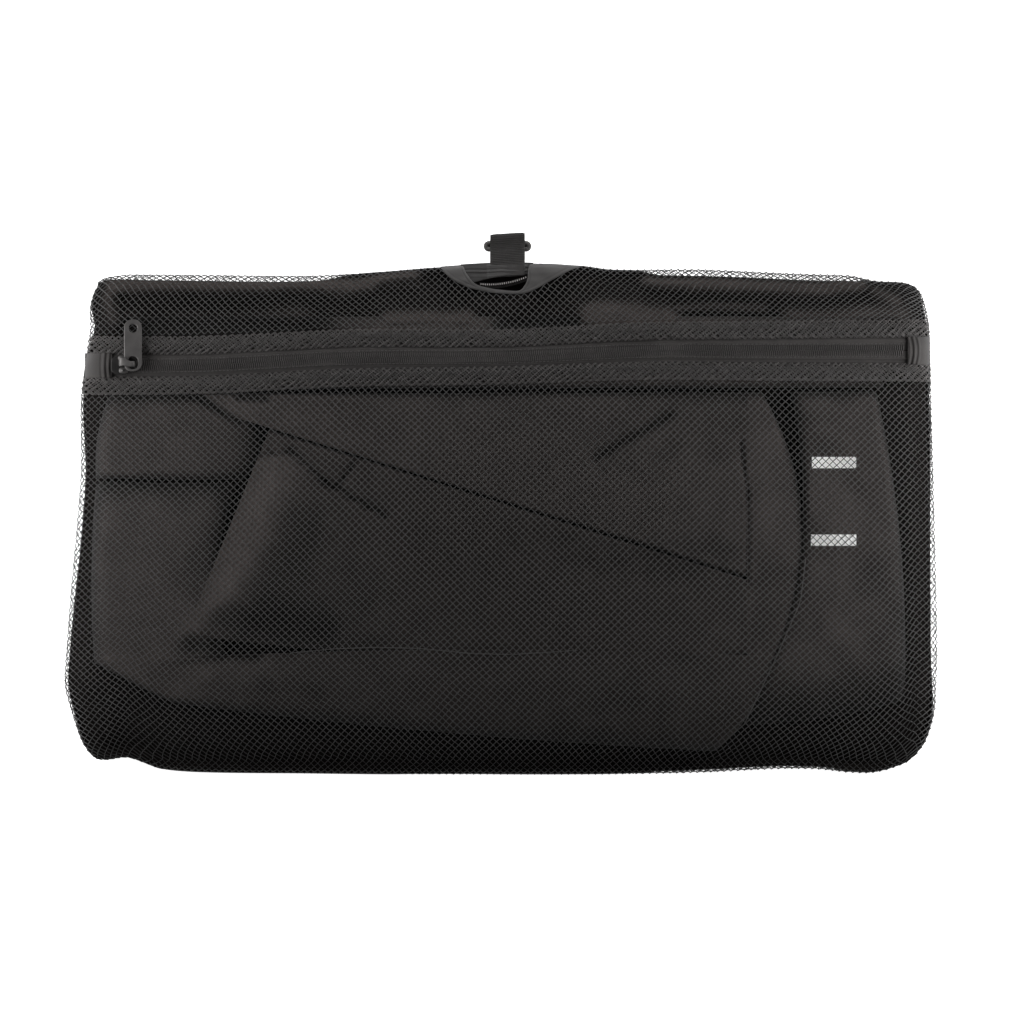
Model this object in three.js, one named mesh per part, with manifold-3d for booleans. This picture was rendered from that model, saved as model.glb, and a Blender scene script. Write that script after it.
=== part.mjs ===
// A zipped net bag that lies on its back, packed with a folded cloth bundle.
// Millimetres. +X runs across the bag, +Y to its top edge, +Z up off the surface it lies on.
import * as THREE from 'three';
import { mergeVertices } from 'three/addons/utils/BufferGeometryUtils.js';
import Module from 'manifold-3d';

const wasm = await Module();
wasm.setup();

// Clearances and walls
const GAP = 0.3;
const NET_WALL = 1.0;
const STEEP_WALL = 3;
const HEM_PROUD = 0.6;

// Form: seam height, crown, and how far each slope reaches in from its edge
const SEAM_Z = 10;
const CROWN_Z = 37.5;
const SIDE_SLOPE = 16;
const FOOT_SLOPE = 58;
const HEAD_SLOPE = 50;
const BACK_SLOPE = 25;

// Zip
const HEM_WIDTH = 10.4;
const TAPE_UNDER_HEM = 4;
const TAPE_THICK = 0.7;
const COIL_WIDTH = 6.4;
const COIL_HEIGHT = 1.6;
const ZIP_START = -228;
const ZIP_END = 238;
const TAB_LEFT_END = -224;
const TAB_RIGHT_END = 231;

// Slider and pull tab
const SLIDER = { x: -216.2, length: 13.8, width: 10.6, plate: 1.0, nose: 2.2 };
const ARCH = { from: -2.4, to: 6.9, post: 2.0, bar: 1.1, width: 3.2, y: 0.8 };
const PULL = { legX: 1.7, leg: 2.2, width: 10.1, foot: -4.3, head: 25.7, thick: 1.5, tiltDeg: 9 };
const EYE = { width: 5.7, foot: -3.1, head: 4.3, corner: 2.4 };
const PULL_HOLE = { y: 20.6, radius: 2.5 };
const LEG_LIFT = 2.35;
const ARCH_ROOM = 1.95;

// Strap and ring
const STRAP = { x: 3.7, width: 20, thick: 1.4 };
const RING = { width: 27.5, depth: 6.3, wire: 2.3, y: 147.6 };

// Bundle
const CORE_DEPTH = 7.5;
const CORE_INSET = 5.5;
const CORE_ROLL = 12;
const CORE_STEP = 26;
const CORE_RIM = 1.6;
const CORE_SLACK = 3.5;
const PIT = { x: 3, y: 128, rx: 42, ry: 14, deep: 4 };
const FOLD_BASE = 7.0;
const FOLD_ROLL = 4;
const FOLD_DROP = 2.2;

// Side edges of the bag at each height
const SIDE_EDGES = [
  { y: -145, left: -236, right: 237 },
  { y: -136, left: -240.5, right: 243.5 },
  { y: -120, left: -246, right: 248.4 },
  { y: -104, left: -250, right: 249.4 },
  { y: -85, left: -249.2, right: 250 },
  { y: -55, left: -247, right: 249.6 },
  { y: -10, left: -243, right: 248.5 },
  { y: 20, left: -240.8, right: 247.7 },
  { y: 60, left: -240.8, right: 246.6 },
  { y: 90, left: -237, right: 246 },
  { y: 101, left: -235.4, right: 245.4 },
  { y: 112, left: -235.7, right: 243.6 },
  { y: 121, left: -233.4, right: 240.4 },
  { y: 125, left: -231, right: 236.5 },
];

// Bottom and top edges of the bag at each place across
const CROSS_EDGES = [
  { x: -236, bottom: -145, top: 123.5 },
  { x: -227, bottom: -146.5, top: 129 },
  { x: -214, bottom: -145.4, top: 131 },
  { x: -195, bottom: -151.7, top: 131 },
  { x: -172, bottom: -153.7, top: 130.8 },
  { x: -110, bottom: -154.6, top: 130.4 },
  { x: -75, bottom: -155, top: 132.2 },
  { x: -40, bottom: -155.1, top: 135 },
  { x: 0, bottom: -155.1, top: 137.3 },
  { x: 45, bottom: -155.1, top: 136.2 },
  { x: 64, bottom: -155, top: 134 },
  { x: 114, bottom: -154, top: 133.9 },
  { x: 160, bottom: -151.9, top: 131.9 },
  { x: 183, bottom: -152.2, top: 131 },
  { x: 200, bottom: -154, top: 130.4 },
  { x: 215, bottom: -153.8, top: 127.4 },
  { x: 231, bottom: -149, top: 126.4 },
  { x: 237, bottom: -145, top: 124.5 },
];

// Middle line of the zip and the height of the strip between its hems
const ZIP_LINE = [
  { x: -240, y: 79, strip: 13.2 },
  { x: -172, y: 79.3, strip: 12.6 },
  { x: -86, y: 83.3, strip: 12.4 },
  { x: 0, y: 84, strip: 11.2 },
  { x: 80, y: 87.2, strip: 12.4 },
  { x: 150, y: 87.4, strip: 13.6 },
  { x: 217, y: 87.6, strip: 14.8 },
  { x: 248, y: 87.4, strip: 14.8 },
];

// Half-moon cut in the top edge: the net's cut line, and the inner line of its binding
const MOUTH = [
  { x: -34.4, y: 135, inner: 135.6 },
  { x: -31.5, y: 131.2, inner: 135.5 },
  { x: -28, y: 128.2, inner: 135.4 },
  { x: -22.5, y: 125.3, inner: 135.2 },
  { x: -19.4, y: 124, inner: 131.2 },
  { x: -14.6, y: 122.3, inner: 125.8 },
  { x: -6.3, y: 120.8, inner: 123.2 },
  { x: 4.7, y: 119.9, inner: 121.9 },
  { x: 10.7, y: 120, inner: 122 },
  { x: 13.1, y: 120.4, inner: 124.6 },
  { x: 15, y: 120.7, inner: 128.2 },
  { x: 17, y: 121.2, inner: 135.6 },
  { x: 25.2, y: 125.6, inner: 136 },
  { x: 33.8, y: 130.4, inner: 136 },
  { x: 39.5, y: 133.4, inner: 135.8 },
  { x: 45.3, y: 135.4, inner: 135.6 },
];
const BINDING_ROWS = MOUTH.slice(1, -1);
const LIP = { foot: [-14.2, 14.6], head: [-20.6, 15.4], y: 129.2, rise: 0.15, pass: 0.9 };
const LIP_RISE = { innerZ: 19.4, outerZ: 11.5, thick: 2, sag: 1.5 };
const LIP_COIL = { from: -11.5, to: 14.2, width: 1.4, thick: 1.5 };

// Wide swells and dips of the packed front
const SWELLS = [
  { x: 40, y: 40, rx: 150, ry: 55, rise: 3 },
  { x: -150, y: -25, rx: 45, ry: 70, rise: 1.6 },
  { x: 78, y: 110, rx: 45, ry: 16, rise: 3.4 },
  { x: 3, y: 124, rx: 48, ry: 18, rise: -5 },
  { x: 208, y: -20, rx: 45, ry: 110, rise: -4.5 },
  { x: -205, y: 30, rx: 50, ry: 60, rise: -2.5 },
  { x: -100, y: 112, rx: 90, ry: 16, rise: -2.5 },
  { x: 20, y: -100, rx: 170, ry: 45, rise: -2 },
];

// Folded layers of the bundle: corners, outward bow of each side, and depth under the net
const FOLDS = [
  {
    name: 'fold_head', step: 22, depth: 4.9,
    sw: [-223, 65.5], se: [219, 66.5], ne: [216, 106], nw: [-214, 106],
    bow: { s: 0, e: 0, n: 0, w: 0 },
  },
  {
    name: 'fold_upper', step: 22, depth: 2.2,
    sw: [-159, 55], se: [139.5, -41], ne: [138.5, 63], nw: [-162, 62.5],
    bow: { s: 0, e: 0, n: 0, w: 0 },
  },
  {
    name: 'fold_left', step: 12, depth: 2.8,
    sw: [-231, 14], se: [-148, 13.5], ne: [-180, 62], nw: [-223, 62],
    bow: { s: 0, e: 13, n: 0, w: 3 },
  },
  {
    name: 'fold_side', step: 14, depth: 4.6,
    sw: [-232, -88], se: [-180.5, -85], ne: [-152, 10.5], nw: [-231, 11],
    bow: { s: 8, e: 0, n: 0, w: 2 },
  },
  {
    name: 'fold_centre', step: 22, depth: 3,
    sw: [-178, -84], se: [140, -86], ne: [139.5, -45], nw: [-137, 31],
    bow: { s: 2, e: 0, n: 7, w: 0 },
  },
  {
    name: 'fold_lower', step: 22, depth: 4,
    sw: [-222, -113], se: [123, -139], ne: [156, -87.5], nw: [-180, -88],
    bow: { s: 8, e: 5, n: -2, w: 0 },
  },
  {
    name: 'fold_end', step: 22, depth: 2.6,
    sw: [142, -80], se: [157, -84], ne: [149.5, 63], nw: [140.5, 63],
    bow: { s: 0, e: 20, n: 0, w: 0 },
  },
  {
    name: 'fold_right', step: 14, depth: 5,
    sw: [143, -127], se: [231, -113], ne: [215, 64], nw: [155, 64],
    bow: { s: 3, e: 6, n: 0, w: -26 },
  },
];

// Finishes: colour, roughness, metalness
const NET = { color: 0x2b2a29, roughness: 0.85, metalness: 0 };
const TAPE = { color: 0x1f1e1d, roughness: 0.9, metalness: 0 };
const CLOTH = { color: 0x232221, roughness: 0.88, metalness: 0 };
const COIL = { color: 0x1b1b1b, roughness: 0.5, metalness: 0 };
const WEBBING = { color: 0x1d1c1b, roughness: 0.8, metalness: 0 };
const DARK_METAL = { color: 0x3a3836, roughness: 0.38, metalness: 0.9 };

const lerp = THREE.MathUtils.lerp;
const clamp01 = (t) => THREE.MathUtils.clamp(t, 0, 1);
const rounded = (t) => Math.sqrt(1 - (1 - clamp01(t)) ** 2);

// Value of a table's column at a place between its rows, on a smooth curve through them
function along(rows, key, column, at) {
  const last = rows.length - 1;
  let i = rows.findIndex((row) => row[key] > at) - 1;
  if (i < 0) i = at < rows[0][key] ? 0 : last - 1;
  const a = rows[i];
  const b = rows[i + 1];
  const before = rows[Math.max(0, i - 1)];
  const after = rows[Math.min(last, i + 2)];
  const span = b[key] - a[key];
  const t = clamp01((at - a[key]) / span);
  const slopeA = (b[column] - before[column]) / (b[key] - before[key]);
  const slopeB = (after[column] - a[column]) / (after[key] - a[key]);
  const t2 = t * t;
  const t3 = t2 * t;
  return (2 * t3 - 3 * t2 + 1) * a[column] + (t3 - 2 * t2 + t) * span * slopeA
    + (3 * t2 - 2 * t3) * b[column] + (t3 - t2) * span * slopeB;
}

const leftEdge = (y) => along(SIDE_EDGES, 'y', 'left', y);
const rightEdge = (y) => along(SIDE_EDGES, 'y', 'right', y);
const bottomEdge = (x) => along(CROSS_EDGES, 'x', 'bottom', x);
const topEdge = (x) => along(CROSS_EDGES, 'x', 'top', x);
const zipY = (x) => along(ZIP_LINE, 'x', 'y', x);
const halfStrip = (x) => along(ZIP_LINE, 'x', 'strip', x) / 2;
const mouthY = (x) => along(MOUTH, 'x', 'y', x);
const inMouth = (x) => x > MOUTH[0].x && x < MOUTH.at(-1).x;

// How far a place has come up the slopes from all four edges, 0 at the rim and 1 inside
function climb(x, y, side, foot, head) {
  const fromSide = Math.min(x - leftEdge(y), rightEdge(y) - x);
  return rounded(fromSide / side) * rounded((y - bottomEdge(x)) / foot) * rounded((topEdge(x) - y) / head);
}

// Outer surface of the front
function frontZ(x, y) {
  const rim = SEAM_Z + GAP / 2 + NET_WALL;
  let crown = CROWN_Z;
  for (const swell of SWELLS) {
    crown += swell.rise * Math.exp(-(((x - swell.x) / swell.rx) ** 2) - ((y - swell.y) / swell.ry) ** 2);
  }
  return rim + (crown - rim) * climb(x, y, SIDE_SLOPE, FOOT_SLOPE, HEAD_SLOPE);
}

// Outer surface of the back: flat on the ground, up to the seam at the rim
function backZ(x, y) {
  const rim = SEAM_Z - GAP / 2 - NET_WALL;
  return rim * (1 - climb(x, y, BACK_SLOPE, BACK_SLOPE, BACK_SLOPE));
}

// Height of a wall measured straight up, larger where the surface is steep
function wallRise(surface, x, y) {
  const step = 0.5;
  const slopeX = (surface(x + step, y) - surface(x - step, y)) / (2 * step);
  const slopeY = (surface(x, y + step) - surface(x, y - step)) / (2 * step);
  return NET_WALL * Math.min(STEEP_WALL, Math.hypot(1, slopeX, slopeY));
}

const frontInnerZ = (x, y) => Math.max(frontZ(x, y) - wallRise(frontZ, x, y), SEAM_Z + GAP / 2);
const backInnerZ = (x, y) => Math.min(backZ(x, y) + wallRise(backZ, x, y), SEAM_Z - GAP / 2);

// Fractions along a length: close steps in from each end, then even steps between
function stations(length, startSteps, endSteps, step) {
  const first = startSteps.map((distance) => distance / length);
  const last = endSteps.map((distance) => 1 - distance / length).reverse();
  const from = first.at(-1);
  const room = last[0] - from;
  const count = Math.max(1, Math.round((room * length) / step));
  const middle = Array.from({ length: count - 1 }, (_, i) => from + (room * (i + 1)) / count);
  return [...first, ...middle, ...last];
}

// Closed solid between two surfaces over one grid of places
function slab(us, ts, place, topZ, bottomZ) {
  const columns = us.length;
  const rows = ts.length;
  const positions = [];
  for (const surface of [topZ, bottomZ]) {
    for (const t of ts) {
      for (const u of us) {
        const [x, y] = place(u, t);
        positions.push(x, y, surface(x, y, u, t));
      }
    }
  }
  const layer = columns * rows;
  const top = (i, j) => j * columns + i;
  const bottom = (i, j) => layer + top(i, j);
  const index = [];
  const quad = (a, b, c, d) => index.push(a, b, c, a, c, d);
  for (let j = 0; j < rows - 1; j += 1) {
    for (let i = 0; i < columns - 1; i += 1) {
      quad(top(i, j), top(i + 1, j), top(i + 1, j + 1), top(i, j + 1));
      quad(bottom(i, j), bottom(i, j + 1), bottom(i + 1, j + 1), bottom(i + 1, j));
    }
    quad(top(0, j), top(0, j + 1), bottom(0, j + 1), bottom(0, j));
    quad(top(columns - 1, j + 1), top(columns - 1, j), bottom(columns - 1, j), bottom(columns - 1, j + 1));
  }
  for (let i = 0; i < columns - 1; i += 1) {
    quad(top(i + 1, 0), top(i, 0), bottom(i, 0), bottom(i + 1, 0));
    quad(top(i, rows - 1), top(i + 1, rows - 1), bottom(i + 1, rows - 1), bottom(i, rows - 1));
  }
  const geometry = new THREE.BufferGeometry();
  geometry.setAttribute('position', new THREE.Float32BufferAttribute(positions, 3));
  geometry.setIndex(index);
  return geometry;
}

// Place on a band of the bag between a lower and an upper line, from side edge to side edge
function bandPlace(lowerY, upperY, inset = 0) {
  return (u, t) => {
    let y = lerp(lowerY(0), upperY(0), t);
    let x = 0;
    for (let pass = 0; pass < 6; pass += 1) {
      x = lerp(leftEdge(y) + inset, rightEdge(y) - inset, u);
      y = lerp(lowerY(x), upperY(x), t);
    }
    return [x, y];
  };
}

// Place on a strip between two lines, from one x to another
const stripPlace = (fromX, toX, lowerY, upperY) => (u, t) => {
  const x = lerp(fromX, toX, u);
  return [x, lerp(lowerY(x), upperY(x), t)];
};

// Place on a four-sided patch with bowed sides
function patchPlace({ sw, se, ne, nw, bow }) {
  const side = (a, b, out) => (t) => {
    const swell = 4 * t * (1 - t) * out;
    const length = Math.hypot(b[0] - a[0], b[1] - a[1]);
    return [
      lerp(a[0], b[0], t) + (swell * (b[1] - a[1])) / length,
      lerp(a[1], b[1], t) - (swell * (b[0] - a[0])) / length,
    ];
  };
  const south = side(sw, se, bow.s);
  const east = side(se, ne, bow.e);
  const north = side(nw, ne, -bow.n);
  const west = side(sw, nw, -bow.w);
  return (u, t) => [0, 1].map((k) => lerp(south(u)[k], north(u)[k], t) + lerp(west(t)[k], east(t)[k], u)
    - lerp(lerp(sw[k], se[k], u), lerp(nw[k], ne[k], u), t));
}

// Solids for joining and cutting, and back to a geometry
function toSolid(geometry) {
  const plain = geometry.clone();
  plain.deleteAttribute('normal');
  plain.deleteAttribute('uv');
  const merged = mergeVertices(plain, 1e-4);
  return new wasm.Manifold(new wasm.Mesh({
    numProp: 3,
    vertProperties: new Float32Array(merged.attributes.position.array),
    triVerts: new Uint32Array(merged.index.array),
  }));
}

function toGeometry(solid) {
  const mesh = solid.getMesh();
  const geometry = new THREE.BufferGeometry();
  geometry.setAttribute('position', new THREE.Float32BufferAttribute(mesh.vertProperties, 3));
  geometry.setIndex(Array.from(mesh.triVerts));
  return geometry;
}

const bag = new THREE.Group();

function piece(name, geometry, finish, parent = bag) {
  geometry.computeVertexNormals();
  const mesh = new THREE.Mesh(geometry, new THREE.MeshStandardMaterial(finish));
  mesh.name = name;
  parent.add(mesh);
  return mesh;
}

// Net panels
const BAG_WIDTH = 500;
const SIDE_STEPS = [0, 1.5, 4, 8, 12, 16];
const FOOT_STEPS = [0, 3, 9, 18, 32, 56];
const HEAD_STEPS = [0, 3, 8, 15];
const PANEL_STEP = 22;
const panelColumns = stations(BAG_WIDTH, SIDE_STEPS, SIDE_STEPS, PANEL_STEP);
const hemFoot = (x) => zipY(x) - halfStrip(x) - HEM_WIDTH;
const hemHead = (x) => zipY(x) + halfStrip(x) + HEM_WIDTH;

function netBack() {
  const edgeSteps = [0, 3, 8, 15, 25];
  const columns = stations(BAG_WIDTH, edgeSteps, edgeSteps, 30);
  const rows = stations(285, edgeSteps, edgeSteps, 40);
  return slab(columns, rows, bandPlace(bottomEdge, topEdge), backInnerZ, backZ);
}

function netFront() {
  const rows = stations(217, FOOT_STEPS, [0], PANEL_STEP);
  return slab(panelColumns, rows, bandPlace(bottomEdge, (x) => hemFoot(x) - GAP), frontZ, frontInnerZ);
}

function netTop() {
  const upper = (x) => (inMouth(x) ? Math.min(mouthY(x), topEdge(x)) : topEdge(x));
  const middle = MOUTH.map(({ x }) => (x - leftEdge(115)) / (rightEdge(115) - leftEdge(115)));
  const outer = panelColumns.filter((u) => u < middle[0] - 0.012 || u > middle.at(-1) + 0.012);
  const columns = [...outer, ...middle].sort((a, b) => a - b);
  const rows = stations(36, [0], HEAD_STEPS, 10);
  return slab(columns, rows, bandPlace((x) => hemHead(x) + GAP, upper), frontZ, frontInnerZ);
}

// Hems, tapes, coil and end tabs of the zip
const proud = (x, y) => frontZ(x, y) + HEM_PROUD;
const tapeTop = (x, y) => frontInnerZ(x, y) - GAP;
const tapeBottom = (x, y) => tapeTop(x, y) - TAPE_THICK;

function hem(lowerY, upperY) {
  return slab(panelColumns, [0, 0.5, 1], bandPlace(lowerY, upperY), proud, frontInnerZ);
}

// Half the space between the tapes: closed by the slider, open round its nose
function tapeGap(x) {
  const open = SLIDER.nose / 2 + GAP + 0.3;
  return lerp(open, GAP / 2, clamp01((x - SLIDER.x + 3) / 4));
}

const zipColumns = [
  ...stations(30, [0], [0], 3).map((u) => (u * 30) / (ZIP_END - ZIP_START)),
  ...stations(ZIP_END - ZIP_START, [52], [0, 5, 10, 16], PANEL_STEP),
];

function zipTape(side) {
  const inner = (x) => zipY(x) + side * tapeGap(x);
  const outer = (x) => zipY(x) + side * (halfStrip(x) + TAPE_UNDER_HEM);
  const [lower, upper] = side < 0 ? [outer, inner] : [inner, outer];
  return slab(zipColumns, [0, 1], stripPlace(ZIP_START, ZIP_END, lower, upper), tapeTop, tapeBottom);
}

function zipCoil() {
  const from = SLIDER.x - 2;
  const to = TAB_RIGHT_END - 1;
  const columns = stations(to - from, [0, 6, 14], [0, 6], PANEL_STEP);
  const place = stripPlace(from, to, (x) => zipY(x) - COIL_WIDTH / 2, (x) => zipY(x) + COIL_WIDTH / 2);
  const base = (x) => tapeTop(x, zipY(x)) + GAP;
  const crest = (x, y, u, t) => base(x) + COIL_HEIGHT * (0.35 + 0.65 * Math.sin(Math.PI * t));
  return slab(columns, [0, 0.3, 0.7, 1], place, crest, base);
}

function zipTab(fromX, toX) {
  const lower = (x) => zipY(x) - halfStrip(x) + GAP;
  const upper = (x) => zipY(x) + halfStrip(x) - GAP;
  const rise = (x, y, u, t) => frontZ(x, y) + 0.5 * Math.sin(Math.PI * t);
  const columns = [0, 0.14, 0.32, 0.55, 0.8, 1];
  return slab(columns, [0, 0.5, 1], stripPlace(fromX, toX, lower, upper), rise, frontInnerZ);
}

// Slider: two plates joined at the nose, side flanges over the tape, and the arch for the pull
const sliderY = zipY(SLIDER.x);
const tapeZ = tapeTop(SLIDER.x, sliderY) - TAPE_THICK / 2;
const tapeHalf = TAPE_THICK / 2;
const topPlateZ = tapeHalf + GAP + COIL_HEIGHT + 0.4;
const archFootZ = topPlateZ + SLIDER.plate;
const legZ = archFootZ + LEG_LIFT;
const archTopZ = legZ + ARCH_ROOM;

function block(fromX, toX, width, fromZ, toZ, y = 0) {
  const box = new THREE.BoxGeometry(toX - fromX, width, toZ - fromZ);
  return toSolid(box.translate((fromX + toX) / 2, y, (fromZ + toZ) / 2));
}

function sliderPlate(fromZ) {
  const half = SLIDER.length / 2;
  const wide = SLIDER.width / 2;
  const corner = 2.6;
  const shape = new THREE.Shape();
  shape.moveTo(-half + corner, -wide);
  shape.lineTo(half - 1, -wide * 0.86);
  shape.quadraticCurveTo(half, -wide * 0.84, half, -wide * 0.6);
  shape.lineTo(half, wide * 0.6);
  shape.quadraticCurveTo(half, wide * 0.84, half - 1, wide * 0.86);
  shape.lineTo(-half + corner, wide);
  shape.quadraticCurveTo(-half, wide, -half, wide - corner);
  shape.lineTo(-half, -wide + corner);
  shape.quadraticCurveTo(-half, -wide, -half + corner, -wide);
  const plate = new THREE.ExtrudeGeometry(shape, { depth: SLIDER.plate, bevelEnabled: false, curveSegments: 4 });
  return toSolid(plate.translate(0, 0, fromZ));
}

function zipSlider() {
  const half = SLIDER.length / 2;
  const lowerPlateTop = -tapeHalf - GAP;
  const flange = 0.9;
  const flangeY = SLIDER.width / 2 - flange;
  let body = sliderPlate(topPlateZ).add(sliderPlate(lowerPlateTop - SLIDER.plate));
  body = body.add(block(-half + 0.6, -half + 2.8, SLIDER.nose, lowerPlateTop - 0.2, topPlateZ + 0.2));
  for (const side of [-1, 1]) {
    body = body.add(block(-half + 2.6, half - 1.4, flange, tapeHalf + GAP, topPlateZ + 0.2, side * flangeY * 0.92));
  }
  body = body.add(block(ARCH.from, ARCH.from + ARCH.post, ARCH.width, archFootZ - 0.2, archTopZ + ARCH.bar, ARCH.y));
  body = body.add(block(ARCH.to - ARCH.post * 0.8, ARCH.to, ARCH.width, archFootZ - 0.2, archTopZ + ARCH.bar, ARCH.y));
  body = body.add(block(ARCH.from, ARCH.to, ARCH.width, archTopZ, archTopZ + ARCH.bar, ARCH.y));
  return toGeometry(body);
}

// Pull tab: a plate with round ends, an eye whose one side lies under the arch, and a round hole.
// It is drawn from the middle of that side, which is the line it turns on.
function roundedOutline(target, fromX, toX, fromY, toY, corner) {
  target.moveTo(fromX + corner, fromY);
  target.lineTo(toX - corner, fromY);
  target.absarc(toX - corner, fromY + corner, corner, -Math.PI / 2, 0);
  target.lineTo(toX, toY - corner);
  target.absarc(toX - corner, toY - corner, corner, 0, Math.PI / 2);
  target.lineTo(fromX + corner, toY);
  target.absarc(fromX + corner, toY - corner, corner, Math.PI / 2, Math.PI);
  target.lineTo(fromX, fromY + corner);
  target.absarc(fromX + corner, fromY + corner, corner, Math.PI, 1.5 * Math.PI);
  return target;
}

function zipPull() {
  const left = -PULL.leg / 2;
  const right = left + PULL.width;
  const shape = roundedOutline(new THREE.Shape(), left, right, PULL.foot, PULL.head, 4.2);
  const eyeLeft = PULL.leg / 2;
  shape.holes.push(roundedOutline(new THREE.Path(), eyeLeft, eyeLeft + EYE.width, EYE.foot, EYE.head, EYE.corner));
  const hole = new THREE.Path();
  hole.absarc((left + right) / 2, PULL_HOLE.y, PULL_HOLE.radius, 0, 2 * Math.PI);
  shape.holes.push(hole);
  const plate = new THREE.ExtrudeGeometry(shape, { depth: PULL.thick, bevelEnabled: false, curveSegments: 4 });
  return toGeometry(toSolid(plate.translate(0, 0, -PULL.thick / 2)));
}

// Half-moon opening: binding, lip and its teeth
function mouthBinding() {
  const from = BINDING_ROWS[0].x;
  const to = BINDING_ROWS.at(-1).x;
  const columns = BINDING_ROWS.map(({ x }) => (x - from) / (to - from));
  const lower = (x) => mouthY(x) + GAP;
  const upper = (x) => along(MOUTH, 'x', 'inner', x);
  const rise = (x, y, u, t) => frontZ(x, y) + 0.9 * Math.sin(Math.PI * (0.15 + 0.7 * t));
  return slab(columns, [0, 0.33, 0.67, 1], stripPlace(from, to, lower, upper), rise, frontInnerZ);
}

const lipEdge = (x) => LIP.y + LIP.rise * (x - STRAP.x);
const lipOut = (x) => topEdge(x) + LIP.pass;
const lipZ = (y) => lerp(LIP_RISE.innerZ, LIP_RISE.outerZ, (y - LIP.y) / (lipOut(STRAP.x) - LIP.y));

function mouthLip() {
  const place = (u, t) => {
    const footX = lerp(...LIP.foot, u);
    const headX = lerp(...LIP.head, u);
    return [lerp(footX, headX, t), lerp(lipEdge(footX), lipOut(headX), t)];
  };
  const drop = (u, t) => LIP_RISE.sag * (1 - t) * (2 * u - 1) ** 4;
  const top = (x, y, u, t) => lipZ(y) - drop(u, t);
  const bottom = (x, y, u, t) => top(x, y, u, t) - LIP_RISE.thick;
  return slab([0, 0.2, 0.4, 0.6, 0.8, 1], [0, 0.3, 0.6, 1], place, top, bottom);
}

function lipCoil() {
  const columns = stations(LIP_COIL.to - LIP_COIL.from, [0], [0], 7);
  const upper = (x) => lipEdge(x) - GAP;
  const lower = (x) => upper(x) - LIP_COIL.width;
  const base = LIP_RISE.innerZ - LIP_RISE.thick;
  const crest = (x, y, u, t) => base + LIP_COIL.thick * (0.5 + 0.5 * Math.sin(Math.PI * t));
  const place = stripPlace(LIP_COIL.from, LIP_COIL.to, lower, upper);
  return slab(columns, [0, 0.5, 1], place, crest, () => base);
}

// Hang strap: webbing on the lip, down over the top edge, folded round the ring and back
function strapPath() {
  const half = STRAP.thick / 2;
  const lipFrom = lipEdge(STRAP.x) + 1;
  const lipTo = lipOut(STRAP.x);
  const onLip = (y) => lipZ(y) + (half + GAP) * 1.25;
  const floorZ = half + 0.1;
  const upperZ = floorZ + 2 * half + RING.wire + 3 * GAP;
  const foldY = 155.1 - half - (upperZ - floorZ) / 2;
  const fold = [];
  for (let step = 0; step <= 6; step += 1) {
    const angle = Math.PI / 2 - (Math.PI * step) / 6;
    const radius = (upperZ - floorZ) / 2;
    fold.push([foldY + radius * Math.cos(angle), (upperZ + floorZ) / 2 + radius * Math.sin(angle)]);
  }
  return [
    [lipFrom, onLip(lipFrom)],
    [lipTo, onLip(lipTo)],
    [142.4, 9.8],
    [146.2, 6.6],
    [149, upperZ + 0.2],
    ...fold,
    [143.6, floorZ],
    [141.6, floorZ + 2.2],
    [140.6, floorZ + 6],
  ];
}

// Strip of even thickness along a path of Y and Z, as wide as the webbing
function hangStrap() {
  const path = strapPath();
  const half = STRAP.thick / 2;
  const normals = path.map((point, i) => {
    const a = path[Math.max(0, i - 1)];
    const b = path[Math.min(path.length - 1, i + 1)];
    const length = Math.hypot(b[0] - a[0], b[1] - a[1]);
    return [-(b[1] - a[1]) / length, (b[0] - a[0]) / length];
  });
  const offset = (sign) => path.map((p, i) => new THREE.Vector2(p[0] + sign * half * normals[i][0],
    p[1] + sign * half * normals[i][1]));
  const shape = new THREE.Shape([...offset(1), ...offset(-1).reverse()]);
  const strip = new THREE.ExtrudeGeometry(shape, { depth: STRAP.width, bevelEnabled: false });
  const upright = new THREE.Matrix4().makeBasis(
    new THREE.Vector3(0, 1, 0), new THREE.Vector3(0, 0, 1), new THREE.Vector3(1, 0, 0),
  );
  strip.applyMatrix4(upright);
  return toGeometry(toSolid(strip.translate(STRAP.x - STRAP.width / 2, 0, 0)));
}

// Flat oval ring of round wire
function strapRing() {
  const end = (RING.depth - RING.wire) / 2;
  const reach = RING.width / 2 - RING.depth / 2;
  const arc = (x, from) => new THREE.EllipseCurve(x, 0, end, end, from, from + Math.PI);
  const rounds = 8;
  const points = [];
  for (const [x, from] of [[reach, -Math.PI / 2], [-reach, Math.PI / 2]]) {
    for (const p of arc(x, from).getPoints(rounds)) points.push(new THREE.Vector3(p.x, p.y, 0));
  }
  const wireSides = 6;
  const positions = [];
  const index = [];
  points.forEach((p, i) => {
    const centre = new THREE.Vector3(p.x > 0 ? reach : -reach, 0, 0);
    const out = p.clone().sub(centre).normalize();
    for (let k = 0; k < wireSides; k += 1) {
      const angle = (2 * Math.PI * k) / wireSides;
      const ring = out.clone().multiplyScalar((RING.wire / 2) * Math.cos(angle)).add(p);
      positions.push(ring.x, ring.y, (RING.wire / 2) * Math.sin(angle));
      const next = ((i + 1) % points.length) * wireSides;
      const here = i * wireSides;
      const k1 = (k + 1) % wireSides;
      index.push(here + k, next + k, next + k1, here + k, next + k1, here + k1);
    }
  });
  const geometry = new THREE.BufferGeometry();
  geometry.setAttribute('position', new THREE.Float32BufferAttribute(positions, 3));
  geometry.setIndex(index);
  return geometry;
}

// Bundle
const mouthPit = (x, y) => PIT.deep * Math.exp(-(((x - PIT.x) / PIT.rx) ** 2) - ((y - PIT.y) / PIT.ry) ** 2);

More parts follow.
